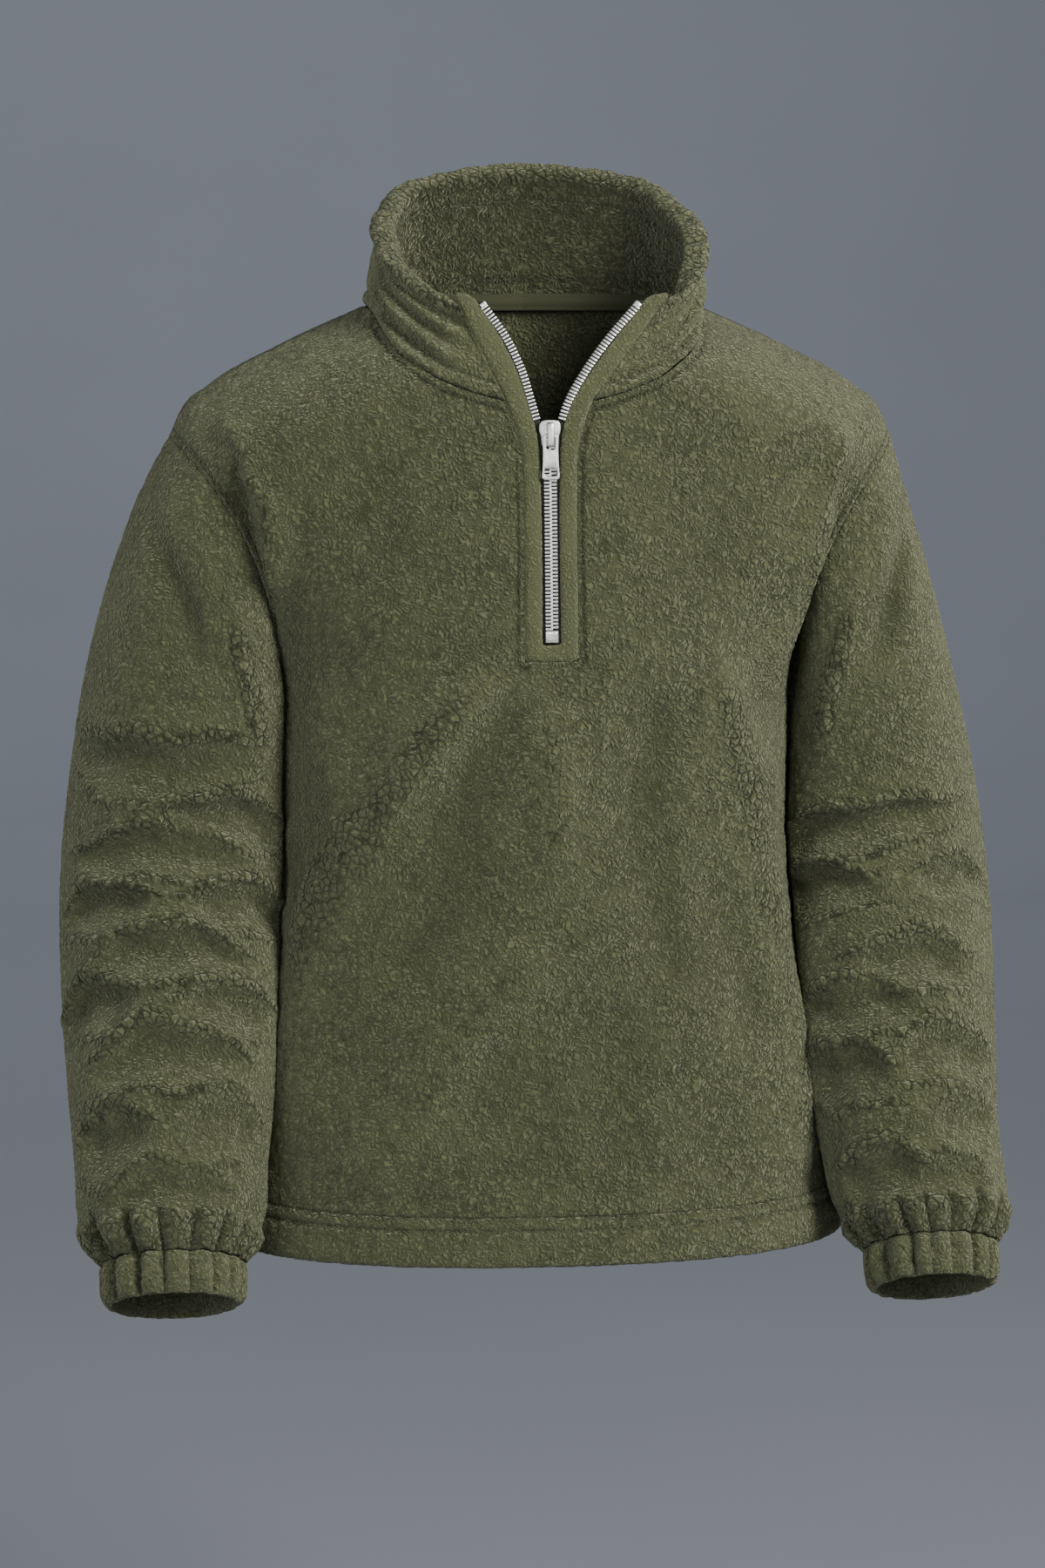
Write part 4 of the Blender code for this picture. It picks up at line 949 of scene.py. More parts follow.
def sheet_mesh(name, fine, inner, keep, wrap, marks):
    """A closed piece of cloth: a fine outer grid, a coarser inner one and cut edges between them."""
    every = EVERY
    rows, columns = fine.shape[:2]
    low_columns = inner.shape[1]
    offset = rows * columns
    count = keep.shape[1]

    def outer(i, j):
        return i * columns + (j % columns if wrap else j)

    def under(i, j):
        return offset + i * low_columns + (j % low_columns if wrap else j)

    i, j = np.nonzero(np.kron(keep, np.ones((every, every), bool)))
    quads = np.stack([outer(i, j), outer(i, j + 1), outer(i + 1, j + 1), outer(i + 1, j)], axis=1)
    i, j = np.nonzero(keep)
    back = np.stack([under(i, j), under(i + 1, j), under(i + 1, j + 1), under(i, j + 1)], axis=1)
    others = []
    for i, j in zip(*np.nonzero(keep)):
        i, j = int(i), int(j)
        row, column = i * every, j * every
        steps = range(every + 1)
        if not (i > 0 and keep[i - 1, j]):
            edge = [outer(row, column + s) for s in steps]
            others.append(edge[::-1] + [under(i, j), under(i, j + 1)])
        if not (i + 1 < keep.shape[0] and keep[i + 1, j]):
            edge = [outer(row + every, column + s) for s in steps]
            others.append(edge + [under(i + 1, j + 1), under(i + 1, j)])
        if not ((j > 0 or wrap) and keep[i, (j - 1) % count]):
            edge = [outer(row + s, column) for s in steps]
            others.append(edge + [under(i + 1, j), under(i, j)])
        if not ((j + 1 < count or wrap) and keep[i, (j + 1) % count]):
            edge = [outer(row + s, column + every) for s in steps]
            others.append(edge[::-1] + [under(i, j + 1), under(i + 1, j + 1)])
    points = np.concatenate([fine.reshape(-1, 3), inner.reshape(-1, 3)])
    used = np.zeros(len(points), bool)
    quads = np.concatenate([quads, back])
    used[quads.ravel()] = True
    place = np.cumsum(used) - 1
    kept = {}
    for mark, grid in marks.items():
        kept[mark] = np.concatenate([grid.ravel(), grid[::every, ::every].ravel()])[used]
    others = [[int(place[index]) for index in face] for face in others]
    return add_mesh(name, points[used], place[quads], others, kept)


def loft_mesh(name, rings, closed, marks=None):
    """Rings of points joined in order, back to the first one or with their ends closed."""
    count, size = rings.shape[:2]
    i = np.arange(count if closed else count - 1)[:, None]
    j = np.arange(size)[None, :]
    a, b = i * size, (i + 1) % count * size
    k = (j + 1) % size
    quads = np.stack(np.broadcast_arrays(a + j, a + k, b + k, b + j), axis=-1).reshape(-1, 4)
    others = []
    if not closed:
        others = [range(size)[::-1], range((count - 1) * size, count * size)]
    piece = add_mesh(name, rings.reshape(-1, 3), quads, others, marks)
    turned_out(piece)
    return piece


def turned_out(piece):
    """Faces of a closed piece turned to face out."""
    shape = bmesh.new()
    shape.from_mesh(piece.data)
    bmesh.ops.recalc_face_normals(shape, faces=shape.faces)
    shape.to_mesh(piece.data)
    shape.free()


def tube_normals(points, outward, at, closed=False):
    """Normals of a tube of rings, one to a row, facing outward at one of its points."""
    lap = np.concatenate([points[:, -1:], points, points[:, :1]], axis=1)
    if closed:
        lap = np.concatenate([lap[-1:], lap, lap[:1]])
    normals = grid_normals(lap, False)[:, 1:-1]
    if closed:
        normals = normals[1:-1]
    return normals if (normals[at] * outward).sum() >= 0 else -normals


def smooth_loop(points, count):
    """A closed smooth curve through points, as count points at equal distances."""
    points = np.asarray(points, float)
    t = np.linspace(0, 1, 12, endpoint=False)[:, None, None]
    a, b = np.roll(points, 1, axis=0), points
    c, d = np.roll(points, -1, axis=0), np.roll(points, -2, axis=0)
    square, cube = 2 * a - 5 * b + 4 * c - d, 3 * b - a - 3 * c + d
    curve = 0.5 * (2 * b + (c - a) * t + square * t**2 + cube * t**3)
    curve = curve.transpose(1, 0, 2).reshape(-1, points.shape[1])
    return spaced(np.concatenate([curve, curve[:1]]), count)[:-1]


def subdivided_curve(points, steps):
    """A smooth open curve through points, with steps for each span."""
    count = len(points)
    wanted = np.linspace(0, count - 1, (count - 1) * steps + 1)
    at = np.arange(count, dtype=float)
    return np.stack([through(at, points[:, k], wanted) for k in range(points.shape[1])], axis=1)


def tube_faces(count, size):
    """Faces of a closed tube of rings of points."""
    faces = []
    for i in range(count - 1):
        for j in range(size):
            k = (j + 1) % size
            faces.append([i * size + j, i * size + k, (i + 1) * size + k, (i + 1) * size + j])
    return faces + [list(range(size))[::-1], list(range((count - 1) * size, count * size))]


def bevelled(shape, edges, radius, steps, profile):
    """Points and faces of a shape after rounding some of its edges."""
    bmesh.ops.bevel(
        shape, geom=edges, offset=radius, segments=steps, profile=profile, affect="EDGES"
    )
    shape.verts.index_update()
    points = np.array([vertex.co[:] for vertex in shape.verts])
    faces = [[vertex.index for vertex in face.verts] for face in shape.faces]
    shape.free()
    return points, faces


# ---------------------------------------------------------------- materials


class Nodes:
    """Short ways to add nodes to a material and to join them."""

    def __init__(self, name, roughness, **sockets):
        self.made = bpy.data.materials.new(name)
        self.made.use_nodes = True
        self.tree = self.made.node_tree
        self.shader = self.tree.nodes["Principled BSDF"]
        self.shader.inputs["Roughness"].default_value = roughness
        for socket, value in sockets.items():
            self.shader.inputs[socket.replace("_", " ")].default_value = value
        self.place = self.add("ShaderNodeTexCoord").outputs["Object"]

    def add(self, kind, inputs=(), **settings):
        node = self.tree.nodes.new(kind)
        for key, value in settings.items():
            setattr(node, key, value)
        for key, value in dict(inputs).items():
            self.join(value, node.inputs[key])
        return node

    def join(self, value, socket):
        if isinstance(value, bpy.types.NodeSocket):
            self.tree.links.new(value, socket)
        else:
            socket.default_value = value

    def math(self, operation, *values, clamp=False):
        node = self.add("ShaderNodeMath", operation=operation, use_clamp=clamp)
        for value, socket in zip(values, node.inputs):
            self.join(value, socket)
        return node.outputs[0]

    def plus(self, value, other, share, clamp=False):
        """The value with a share of another one added."""
        return self.math("MULTIPLY_ADD", other, share, value, clamp=clamp)

    def vector(self, operation, inputs):
        return self.add("ShaderNodeVectorMath", inputs, operation=operation).outputs[0]

    def move(self, amount, scale=(1, 1, 1), by=None):
        """Object coordinates scaled, and shifted by a noise colour."""
        place = self.place
        if by is not None:
            shift = self.vector("SUBTRACT", {0: by, 1: (0.5, 0.5, 0.5)})
            shift = self.vector("SCALE", {0: shift, "Scale": amount})
            place = self.vector("ADD", {0: place, 1: shift})
        return self.add("ShaderNodeMapping", {"Vector": place, "Scale": scale}).outputs[0]

    def noise(self, size_mm, detail=2.0, vector=None, rough=0.5):
        place = self.place if vector is None else vector
        inputs = {"Vector": place, "Scale": 1000.0 / size_mm, "Detail": detail, "Roughness": rough}
        return self.add("ShaderNodeTexNoise", inputs)

    def cell_edges(self, size_mm, vector):
        inputs = {"Vector": vector, "Scale": 1000.0 / size_mm}
        return self.add("ShaderNodeTexVoronoi", inputs, feature="DISTANCE_TO_EDGE").outputs["Distance"]

    def waves(self, scale, distortion, **settings):
        inputs = {"Vector": self.place, "Scale": scale, "Distortion": distortion}
        return self.add("ShaderNodeTexWave", inputs, **settings).outputs["Fac"]

    def ramp(self, value, low, high, to_low=0.0, to_high=1.0):
        inputs = {"Value": value, "From Min": low, "From Max": high, "To Min": to_low, "To Max": to_high}
        return self.add("ShaderNodeMapRange", inputs, interpolation_type="SMOOTHSTEP").outputs[0]

    def mix(self, share, first, second):
        node = self.add("ShaderNodeMix", data_type="RGBA")
        self.join(share, node.inputs["Factor"])
        self.join(first, node.inputs["A"])
        self.join(second, node.inputs["B"])
        return node.outputs["Result"]

    def attribute(self, name):
        return self.add("ShaderNodeAttribute", attribute_name=name).outputs["Fac"]

    def bump(self, height, distance_mm):
        node = self.add("ShaderNodeBump", {"Height": height, "Distance": distance_mm * MM})
        self.tree.links.new(node.outputs[0], self.shader.inputs["Normal"])

    def roughness(self, value):
        self.join(value, self.shader.inputs["Roughness"])

    def colour(self, value):
        self.join(value, self.shader.inputs["Base Color"])


def colour(red, green, blue):
    return (red, green, blue, 1.0)


def scaled_colour(base, share):
    """A colour lighter or darker than the base by a share: tones of the tapes' weave, and the fleece's
    painted highlight and painted shade.
    """
    return colour(*(c * share for c in base))


def fleece(name, base, pile_mm=3.8, strength=1.0):
    """Curly fleece: winding clumps of pile and fine hair, with painted shade in their creases, seams and
    hollows and painted highlights on the clumps' tops and fold ridges.
    """
    made = Nodes(name, 0.95, Specular_IOR_Level=0.12, Sheen_Weight=0.35, Sheen_Roughness=0.5)
    made.shader.inputs["Sheen Tint"].default_value = colour(0.85, 0.88, 0.62)
    warp = made.noise(pile_mm * 2.4, 1.0).outputs["Color"]
    place = made.move(pile_mm * 1.6 * MM, by=warp)
    fields = []
    for size in (pile_mm, pile_mm * 0.6):
        noise = made.noise(size, 0.0, place).outputs["Color"]
        split = made.add("ShaderNodeSeparateColor", {"Color": noise})
        sides = [made.math("ABSOLUTE", made.math("SUBTRACT", split.outputs[k], 0.5)) for k in (0, 1)]
        fields.append(made.math("MINIMUM", *sides))
    crest = made.attribute("crest")
    # Creases between the clumps: they shape the bump, and they get painted shade in the colour.
    crease = made.ramp(fields[0], 0.0, 0.13, 1.0, 0.0)
    cobble = made.cell_edges(5.6, made.move(3.5 * MM, by=warp))
    cobble = made.math("MULTIPLY", made.ramp(cobble, 0.02, 0.26, 1.0, 0.0), made.ramp(crest, 0.1, 0.6))
    crease = made.math("MULTIPLY", crease, made.plus(1.0, crest, -0.6))
    crease = made.math("MAXIMUM", crease, cobble)
    swell = made.ramp(fields[0], 0.0, 0.28)
    fine = made.ramp(fields[1], 0.0, 0.07, 1.0, 0.0)
    hair = made.noise(0.8, 3.0, rough=0.7).outputs["Fac"]
    big = made.attribute("clump")
    patch = made.noise(42.0, 2.0).outputs["Fac"]
    # Calm patches and fold hollows get less of the painted crease shade.
    calm = made.math("SUBTRACT", made.ramp(patch, 0.40, 0.60), crest, clamp=True)
    calm = made.math("MAXIMUM", calm, made.attribute("hollow"))
    keep = made.plus(1.0, calm, -0.4)
    crease = made.math("MULTIPLY", crease, keep)
    # Painted shade in the creases of the mesh's coarser clumps, a little more on the crests.
    deep = made.ramp(big, 0.0, 0.6, 1.0, 0.0)
    # Painted highlight on the clumps' tops, and from the ridge mark painted highlight on fold ridges and
    # painted shade in fold hollows.
    tip_highlight = made.ramp(made.plus(hair, swell, 0.7), 0.40, 1.05)
    tip_highlight = made.plus(tip_highlight, made.attribute("ridge"), 1.25)
    light = made.plus(0.32, tip_highlight, 0.36, clamp=True)
    highlit_colour = made.mix(light, scaled_colour(base, 0.68), scaled_colour(base, 1.44))
    relief_shade = made.math("MULTIPLY", deep, made.plus(0.26, crest, 0.2))
    # Painted shade: the colour goes towards a dark olive in the creases, at the cobbles' edges, in the seam
    # grooves and the gathers' valleys, and inside the collar.
    shade = made.plus(relief_shade, crease, 0.46 * strength)
    shade = made.plus(shade, fine, 0.12 * strength)
    shade = made.plus(shade, cobble, 0.30)
    shade = made.plus(shade, made.attribute("seam"), 0.7)
    shade = made.plus(shade, made.attribute("inside_shade"), 0.62, clamp=True)
    made.colour(made.mix(shade, highlit_colour, scaled_colour(base, 0.24)))
    height = made.plus(made.math("MULTIPLY", fine, -0.18), crease, -0.9)
    height = made.plus(height, swell, 1.5)
    height = made.plus(height, hair, 0.34)
    height = made.plus(height, cobble, -1.4)
    made.bump(height, 1.05 * strength)
    return made.made


def bright_metal():
    """Bright plating of the teeth and stops, a little milky where it is worn."""
    made = Nodes("bright_metal", 0.3, Metallic=0.72)
    spots = made.noise(2.2, 3.0).outputs["Fac"]
    made.colour(made.mix(spots, colour(0.80, 0.80, 0.78), colour(0.92, 0.92, 0.90)))
    made.roughness(made.ramp(made.noise(0.9, 2.0).outputs["Fac"], 0.3, 0.7, 0.22, 0.38))
    made.bump(made.noise(0.5, 2.0).outputs["Fac"], 0.01)
    return made.made


def satin_metal():
    """Satin plating of the slider and its tab, brushed along the zip."""
    made = Nodes("satin_metal", 0.34, Metallic=0.92)
    place = made.move(0.0, (1.0, 1.0, 0.12))
    brushed = made.noise(0.35, 3.0, place).outputs["Fac"]
    wear = made.noise(6.0, 2.0).outputs["Fac"]
    made.colour(made.mix(wear, colour(0.56, 0.56, 0.55), colour(0.72, 0.72, 0.71)))
    made.roughness(made.ramp(brushed, 0.3, 0.7, 0.28, 0.44))
    made.bump(brushed, 0.02)
    return made.made


def tape_cloth(name, base):
    """Tightly woven tape with fine ribs."""
    made = Nodes(name, 0.85, Specular_IOR_Level=0.25, Sheen_Weight=0.1)
    ribs = made.waves(310.0, 0.6, bands_direction="Z")
    weave = made.waves(420.0, 0.8)
    both = made.plus(made.math("MULTIPLY", weave, 0.4), ribs, 0.6)
    made.colour(made.mix(both, scaled_colour(base, 0.5), scaled_colour(base, 1.0)))
    made.bump(both, 0.15)
    return made.made


def painted(piece, made):
    piece.data.materials.clear()
    piece.data.materials.append(made)


def cloth_sheet(name, points, normals, height, keep, wrap, marks):
    """A piece of fleece: its pile raised over the points, and its inner face a wall behind them."""
    fine = points + normals * height[..., None]
    inner = (points - normals * FLEECE)[::EVERY, ::EVERY]
    piece = sheet_mesh(name, fine, inner, keep, wrap, marks)
    turned_out(piece)
    return piece


def worn(piece, slot, *nodes, body="garment"):
    """A piece that rides on a body and stands for some nodes, which it hides; the slot is not used."""
    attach(piece, body)
    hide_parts(*nodes)
    return piece


# ---------------------------------------------------------------- front and back


def panel_points(face):
    """The outer grid of a panel and which of its coarse cells are cloth."""
    half = half_panel(face)
    other = half * np.array([-1.0, 1.0])
    if face == "front":
        edge = half[:, -1]
        shares = np.linspace(-1, 1, MIDDLE_COLUMNS + 1)[1:-1]
        middle = np.stack([edge[:, :1] * shares, np.repeat(edge[:, 1:], len(shares), axis=1)], axis=-1)
        grid = np.concatenate([other, middle, half[:, ::-1]], axis=1)
    else:
        grid = np.concatenate([other, half[:, -2::-1]], axis=1)
    points = on_torso(grid, face)
    points[: LOW_ROWS + 1, [0, -1], 1] = 0.0
    arm = armhole(face)
    points[LOW_ROWS:, -1] = arm
    points[LOW_ROWS:, 0] = mirrored(arm, -1)
    keep = all_cells(points)
    if face == "front":
        first = (SHOULDER_COLUMNS + NECK_COLUMNS) // EVERY
        keep[LOW_ROWS // EVERY :, first : first + MIDDLE_COLUMNS // EVERY] = False
    return points, keep


def sewn_edges(points):
    """Points of a panel's edges that are sewn to the sleeves, the other panel and the collar."""
    columns = SHOULDER_COLUMNS + NECK_COLUMNS
    top = [points[-1, : columns + 1], points[-1, -columns - 1 :]]
    return np.concatenate([points[LOW_ROWS:, 0], points[LOW_ROWS:, -1], *top])


def near_line(points, line, reach):
    """Distance from points to a line of points, up to reach."""
    found = np.full(points.shape[:-1], reach)
    flat = points.reshape(-1, 3)
    low, high = line.min(axis=0) - reach, line.max(axis=0) + reach
    close = np.nonzero(np.all((flat > low) & (flat < high), axis=1))[0]
    for some in np.array_split(close, max(1, len(close) // 4000)):
        if len(some) == 0:
            continue
        gap = np.linalg.norm(flat[some, None] - line[None], axis=-1).min(axis=1)
        found.reshape(-1)[some] = np.minimum(found.reshape(-1)[some], gap)
    return found


def groove(distance, at, width, depth):
    """Height of a groove in the pile along a line."""
    return -depth * bell(distance - at, width)


def seamed(height, gap):
    """Pile beside a seam: flattened between the seam and its line of stitching, both in a groove."""
    height = height * (0.35 + 0.65 * step(SEAM_BAND - 1.0, SEAM_BAND + 3.0, gap))
    height = height + groove(gap, 0.6, 1.3, 0.7) + groove(gap, SEAM_BAND, 1.5, 1.3)
    return height * step(0.0, 1.0, gap)


def seam_shade(gap):
    """How much painted shade each point gets, in a seam's groove or in its line of stitching, from 0 to 1.
    """
    return np.maximum(0.5 * bell(gap, 1.4), 1.2 * bell(gap - SEAM_BAND, 1.3))


def inset_line(rows, outs, distance):
    """Points at a distance in from the first point of each row, and the directions out there."""
    line, out = [], []
    for row, its_out in zip(rows, outs):
        gone = gone_along(row)
        line.append(read_line(distance, gone, row))
        out.append(read_line(distance, gone, its_out))
    return np.array(line), np.array(out)


def meet_at_shoulder(points):
    """The panel with its top edge drawn onto the line where front and back meet."""
    points = points.copy()
    ridge = read(SHOULDER, "y", np.abs(points[-1, :, 0]))
    count = SHOULDER_COLUMNS + 1
    for part in (slice(0, count), slice(-count, None)):
        points[-1, part, 1] = ridge[part]
    return points


def make_panels():
    """Front and back, with the same normals where they are sewn to each other."""
    made = {}
    for face, folds in (("front", FRONT_FOLDS), ("back", BACK_FOLDS)):
        points, keep = panel_points(face)
        turn = 1 if face == "front" else -1
        normals = grid_normals(points, False) * turn
        points = meet_at_shoulder(points)
        height, crest, hollow = body_folds(points, folds, face)
        points = points + normals * height[..., None]
        normals = grid_normals(points, False) * turn
        # The last item is the ridge mark: painted highlight on the drapes' ridges and painted shade in
        # their troughs.
        made[face] = [points, normals, keep, crest, hollow, np.clip(height / 11.0, -1, 1)]
    front, back = made["front"][1], made["back"][1]
    for column in (0, -1):
        shared = unit(front[:, column] + back[:, column])
        front[:, column] = back[:, column] = shared
    shoulder = SHOULDER_COLUMNS + 1
    for part in (slice(0, shoulder), slice(-shoulder, None)):
        shared = unit(front[-1, part] + back[-1, part])
        front[-1, part] = back[-1, part] = shared
    for face in made:
        points, normals, keep, crest, hollow, ridge = made[face]
        gap = near_line(points, sewn_edges(points)[::3], SEAM_REACH)
        height, mark = pile(points, crest, 1 if face == "front" else 2)
        height *= 1 - 0.5 * hollow
        height = seamed(height, gap)
        z = points[..., 2]
        height += groove(z - HEM_TOP_Z, 0.0, 2.2, 1.0)
        if face == "front":
            zs = np.linspace(UNDERARM_Z - 4, NECK_SEAM_Z, 90)
            for side in SIDES:
                edge = near_line(points, outer_edge(side, zs), 6.0)
                height += groove(edge, 0.0, 2.6, 1.3)
                gap = np.minimum(gap, edge * 1.2 + 0.6)
        # Marks for the fleece: painted shade in the seam grooves and the placket edge's groove, and painted
        # highlight and shade on the drapes' ridges and troughs.
        marks = {"clump": mark, "crest": crest, "hollow": hollow, "seam": seam_shade(gap), "ridge": ridge}
        for turned in (slice(None), slice(None, None, -1)):
            rows, outs = points[LOW_ROWS:, turned], normals[LOW_ROWS:, turned]
            SEWN[face].append((*inset_line(rows, outs, SEAM_BAND), False))
            if face == "back":
                shoulder = slice(2, SHOULDER_COLUMNS)
                rows, outs = (
                    grid[::-1, turned][:40, shoulder].transpose(1, 0, 2) for grid in (points, normals)
                )
                SEWN[face].append((*inset_line(rows, outs, SEAM_BAND), False))
        piece = cloth_sheet(face + "_cloth", points, normals, height, keep, False, marks)
        CLOTH[face + "_panel"] = worn(piece, "body_fleece", face + "_panel")


# ---------------------------------------------------------------- sleeves and cuffs


def sleeve_grid(side):
    """A sleeve's outer points at x > 0, a row to each ring, with its crests, hollows and gathers."""
    loop = armhole_loop()
    angles = full_turn(len(loop))
    start = loop[:, 2]
    share = np.linspace(0, 1, SLEEVE_RINGS + 1)[:, None]
    z = start + (SLEEVE_END_Z - start) * share
    turn = np.broadcast_to(angles, z.shape)
    plain = sleeve_surface(turn, z, side)
    out = unit(plain - sleeve_surface(turn + math.pi, z, side))
    correction = loop - sleeve_surface(angles, start, side)
    ring = plain + correction * (1 - step(0.0, 0.42, share))[..., None]
    strength = step(0.04, 0.16, share) * (1 - step(0.93, 0.99, share))
    height, crest, hollow = sleeve_folds(turn, z, side)
    ring = ring + out * (height * strength)[..., None]
    depth = GATHER_DEEP * step(0.943, 0.972, share) * (1 - 0.25 * step(0.985, 1.0, share))
    ribs = uneven_waves(turn, 1.0, side)
    ring = ring + out * (depth * (ribs + 0.6))[..., None]
    if side == "right":
        towards = bell(turn - math.pi, 0.8) * bell(z - UNDERARM_FILL_Z, 60)
        ring = ring + out * (UNDERARM_FILL * towards)[..., None]
    cleared = clear_of_body(ring)
    cleared[0] = ring[0]
    crest = crest * strength + 0.5 * step(0.93, 0.97, share)
    return cleared, crest, hollow * strength, np.where(share > 0.95, ribs, 1.0)


def uneven_waves(angles, depth, side):
    """Gathers round a wrist: round ribs with sharp valleys, some wider and deeper than others."""
    seed = 0.0 if side == "right" else 1.7
    turn = angles + 0.06 * np.sin(3 * angles + seed) + 0.035 * np.sin(5 * angles + 2 * seed)
    ribs = np.abs(np.cos(GATHERS / 2 * turn)) ** 0.75 * 2 - 1.3
    return depth * ribs * (1 + 0.25 * np.sin(2 * angles + seed) + 0.2 * np.sin(7 * angles))


def make_sleeves():
    for side, sign in SIDES.items():
        points, crest, hollow, ribs = sleeve_grid(side)
        points = mirrored(points, sign)
        normals = grid_normals(points, True) * sign
        height, mark = pile(points, crest, 3 if sign > 0 else 4, 0.7, 1.8)
        height *= 1 - 0.6 * hollow
        gap = near_line(points, points[0, ::3], SEAM_REACH)
        height = (height + groove(gap, 0.8, 1.4, 0.7)) * step(0.0, 1.0, gap)
        name = "sleeve_" + side
        # Painted shade in the armhole seam's groove and the gathers' valleys; painted highlight on the
        # folds' crests and painted shade in their hollows.
        valley = np.clip((RIB_LEVEL - ribs) / 0.9, 0, 1)
        seam = np.maximum(0.5 * bell(gap, 1.4), 0.8 * valley)
        ridge = 0.6 * crest - 0.9 * hollow
        marks = {"clump": mark, "crest": crest, "hollow": hollow, "seam": seam, "ridge": ridge}
        piece = cloth_sheet(name + "_cloth", points, normals, height, all_cells(points), True, marks)
        CLOTH[name] = worn(piece, "sleeve_fleece", name)


def make_cuffs():
    angles = full_turn(CUFF_ROUND)
    out, axis = wrist_frame(angles)
    outer = list(rows_of(CUFF_OUTER))
    inner = [(down, grow, 0.0) for down, grow in rows_of(CUFF_INNER)]
    profile = smooth_loop(outer + inner, CUFF_STEPS)
    for side, sign in SIDES.items():
        top = sleeve_surface(angles, np.full(angles.shape, SLEEVE_END_Z), side) - axis * CUFF_TUCK
        down, grow, gathers = (profile[:, k][:, None] for k in range(3))
        waves = uneven_waves(angles, np.clip(gathers, 0, 1) * GATHER_DEEP * 0.8, side)
        points = top + axis * down[..., None] + out * (grow + waves)[..., None]
        points = mirrored(points, sign)
        at = CUFF_STEPS // 5
        normals = tube_normals(points, points[at] - points.mean(axis=(0, 1)), at, True)
        height, mark = pile(points, np.full(points.shape[:2], 0.35), 5, 0.5, 1.0, 4.4)
        rings = (points + normals * height[..., None]).transpose(1, 0, 2)
        name = "cuff_" + side
        full = step(0.2, 0.6, gathers)
        ribs = uneven_waves(angles, 1.0, side)[None] * full + 1 - full
        # Painted shade in the valleys of the cuff's ribs.
        valley = 0.8 * np.clip((RIB_LEVEL - ribs) / 0.9, 0, 1)
        marks = {"clump": mark.T, "crest": np.full(mark.T.shape, 0.3), "seam": valley.T}
        piece = loft_mesh(name + "_cloth", rings, True, marks)
        CLOTH[name] = worn(piece, "cuff_fleece", name)


# ---------------------------------------------------------------- hem


def make_hem():
    angles = full_turn(HEM_ROUND)
    profile = smooth_loop(list(rows_of(HEM_SECTION)), HEM_STEPS)
    power = 2 / BODY_CORNER
    cos, sin = np.cos(angles)[:, None], np.sin(angles)[:, None]
    z = np.broadcast_to(HEM_TOP_Z - profile[:, 0], (HEM_ROUND, HEM_STEPS))
    half = body_half(z)
    depth = body_depth(z, sin > 0)
    x = half * np.sign(cos) * np.abs(cos) ** power
    y = depth * np.sign(sin) * np.abs(sin) ** power
    away = np.stack(
        [
            np.sign(x) * (np.abs(x) / half) ** (BODY_CORNER - 1) / half,
            np.sign(y) * (np.abs(y) / depth) ** (BODY_CORNER - 1) / depth,
        ],
        axis=-1,
    )
    away = unit(away) * profile[:, 1][None, :, None]
    points = np.stack([x + away[..., 0], y + away[..., 1], z], axis=-1)
    right = np.array([1.0, 0.0, 0.0])
    normals = tube_normals(points, right, (0, int(np.argmax(profile[:, 1]))), True)
    height, mark = pile(points, np.full(points.shape[:2], 0.15), 6, 0.5, 1.0)
    level = np.broadcast_to(profile[:, 0], height.shape)
    # Painted shade along the hem's two stitched grooves.
    seam = 0.6 * (bell(level, 1.6) + bell(level - HEM_STITCH, 1.4))
    marks = {"clump": mark, "crest": mark * 0 + 0.1, "seam": seam}
    piece = loft_mesh("hem_cloth", points + normals * height[..., None], True, marks)
    front = np.nonzero(profile[:, 1] > -2.0)[0]
    for at in (1.2, HEM_STITCH):
        row = front[np.argmin(np.abs(profile[front, 0] - at))]
        SEWN["hem"].append((points[:, row], normals[:, row], True))
    CLOTH["hem_band"] = worn(piece, "hem_fleece", "hem_band")


# ---------------------------------------------------------------- collar


def neck_loop(count):
    """The neckline from the opening's right edge round the back to its left one."""
    front, back = (on_torso(neckline(face, 60), face) for face in ("front", "back"))
    right = [mirrored(front[::-1], -1), mirrored(back[1:], -1)]
    loop = np.concatenate([*right, back[-2::-1], front[1:]])
    return spaced(loop, count)


def collar_frame(count=200):
    """Base and rim of the collar's outer face, their shares of its length, and the direction inward."""
    base = neck_loop(count) + np.array([0.0, 0.0, COLLAR_LIFT])
    lengths = np.linalg.norm(np.diff(base, axis=0), axis=1)
    shares = gone_along(base) / lengths.sum()
    rim = np.stack([read(RIM, axis, shares) for axis in "xyz"], axis=1)
    along = unit(np.gradient(base + rim, axis=0))
    inward = unit(np.cross(rim - base, along))
    return base, rim, shares, -inward


def collar_folds(share, height):
    """Height of the collar's folds; its length counts as so many heights there."""
    length = 6.5
    found = np.zeros(np.broadcast(share, height).shape)
    for share_a, height_a, share_b, height_b, width, depth in rows_of(COLLAR_FOLDS):
        fold = (share_a * length, height_a, share_b * length, height_b, width, depth)
        found += line_fold(share * length, height, fold)
    return found * step(0.0, 0.06, share) * (1 - step(0.94, 1.0, share))


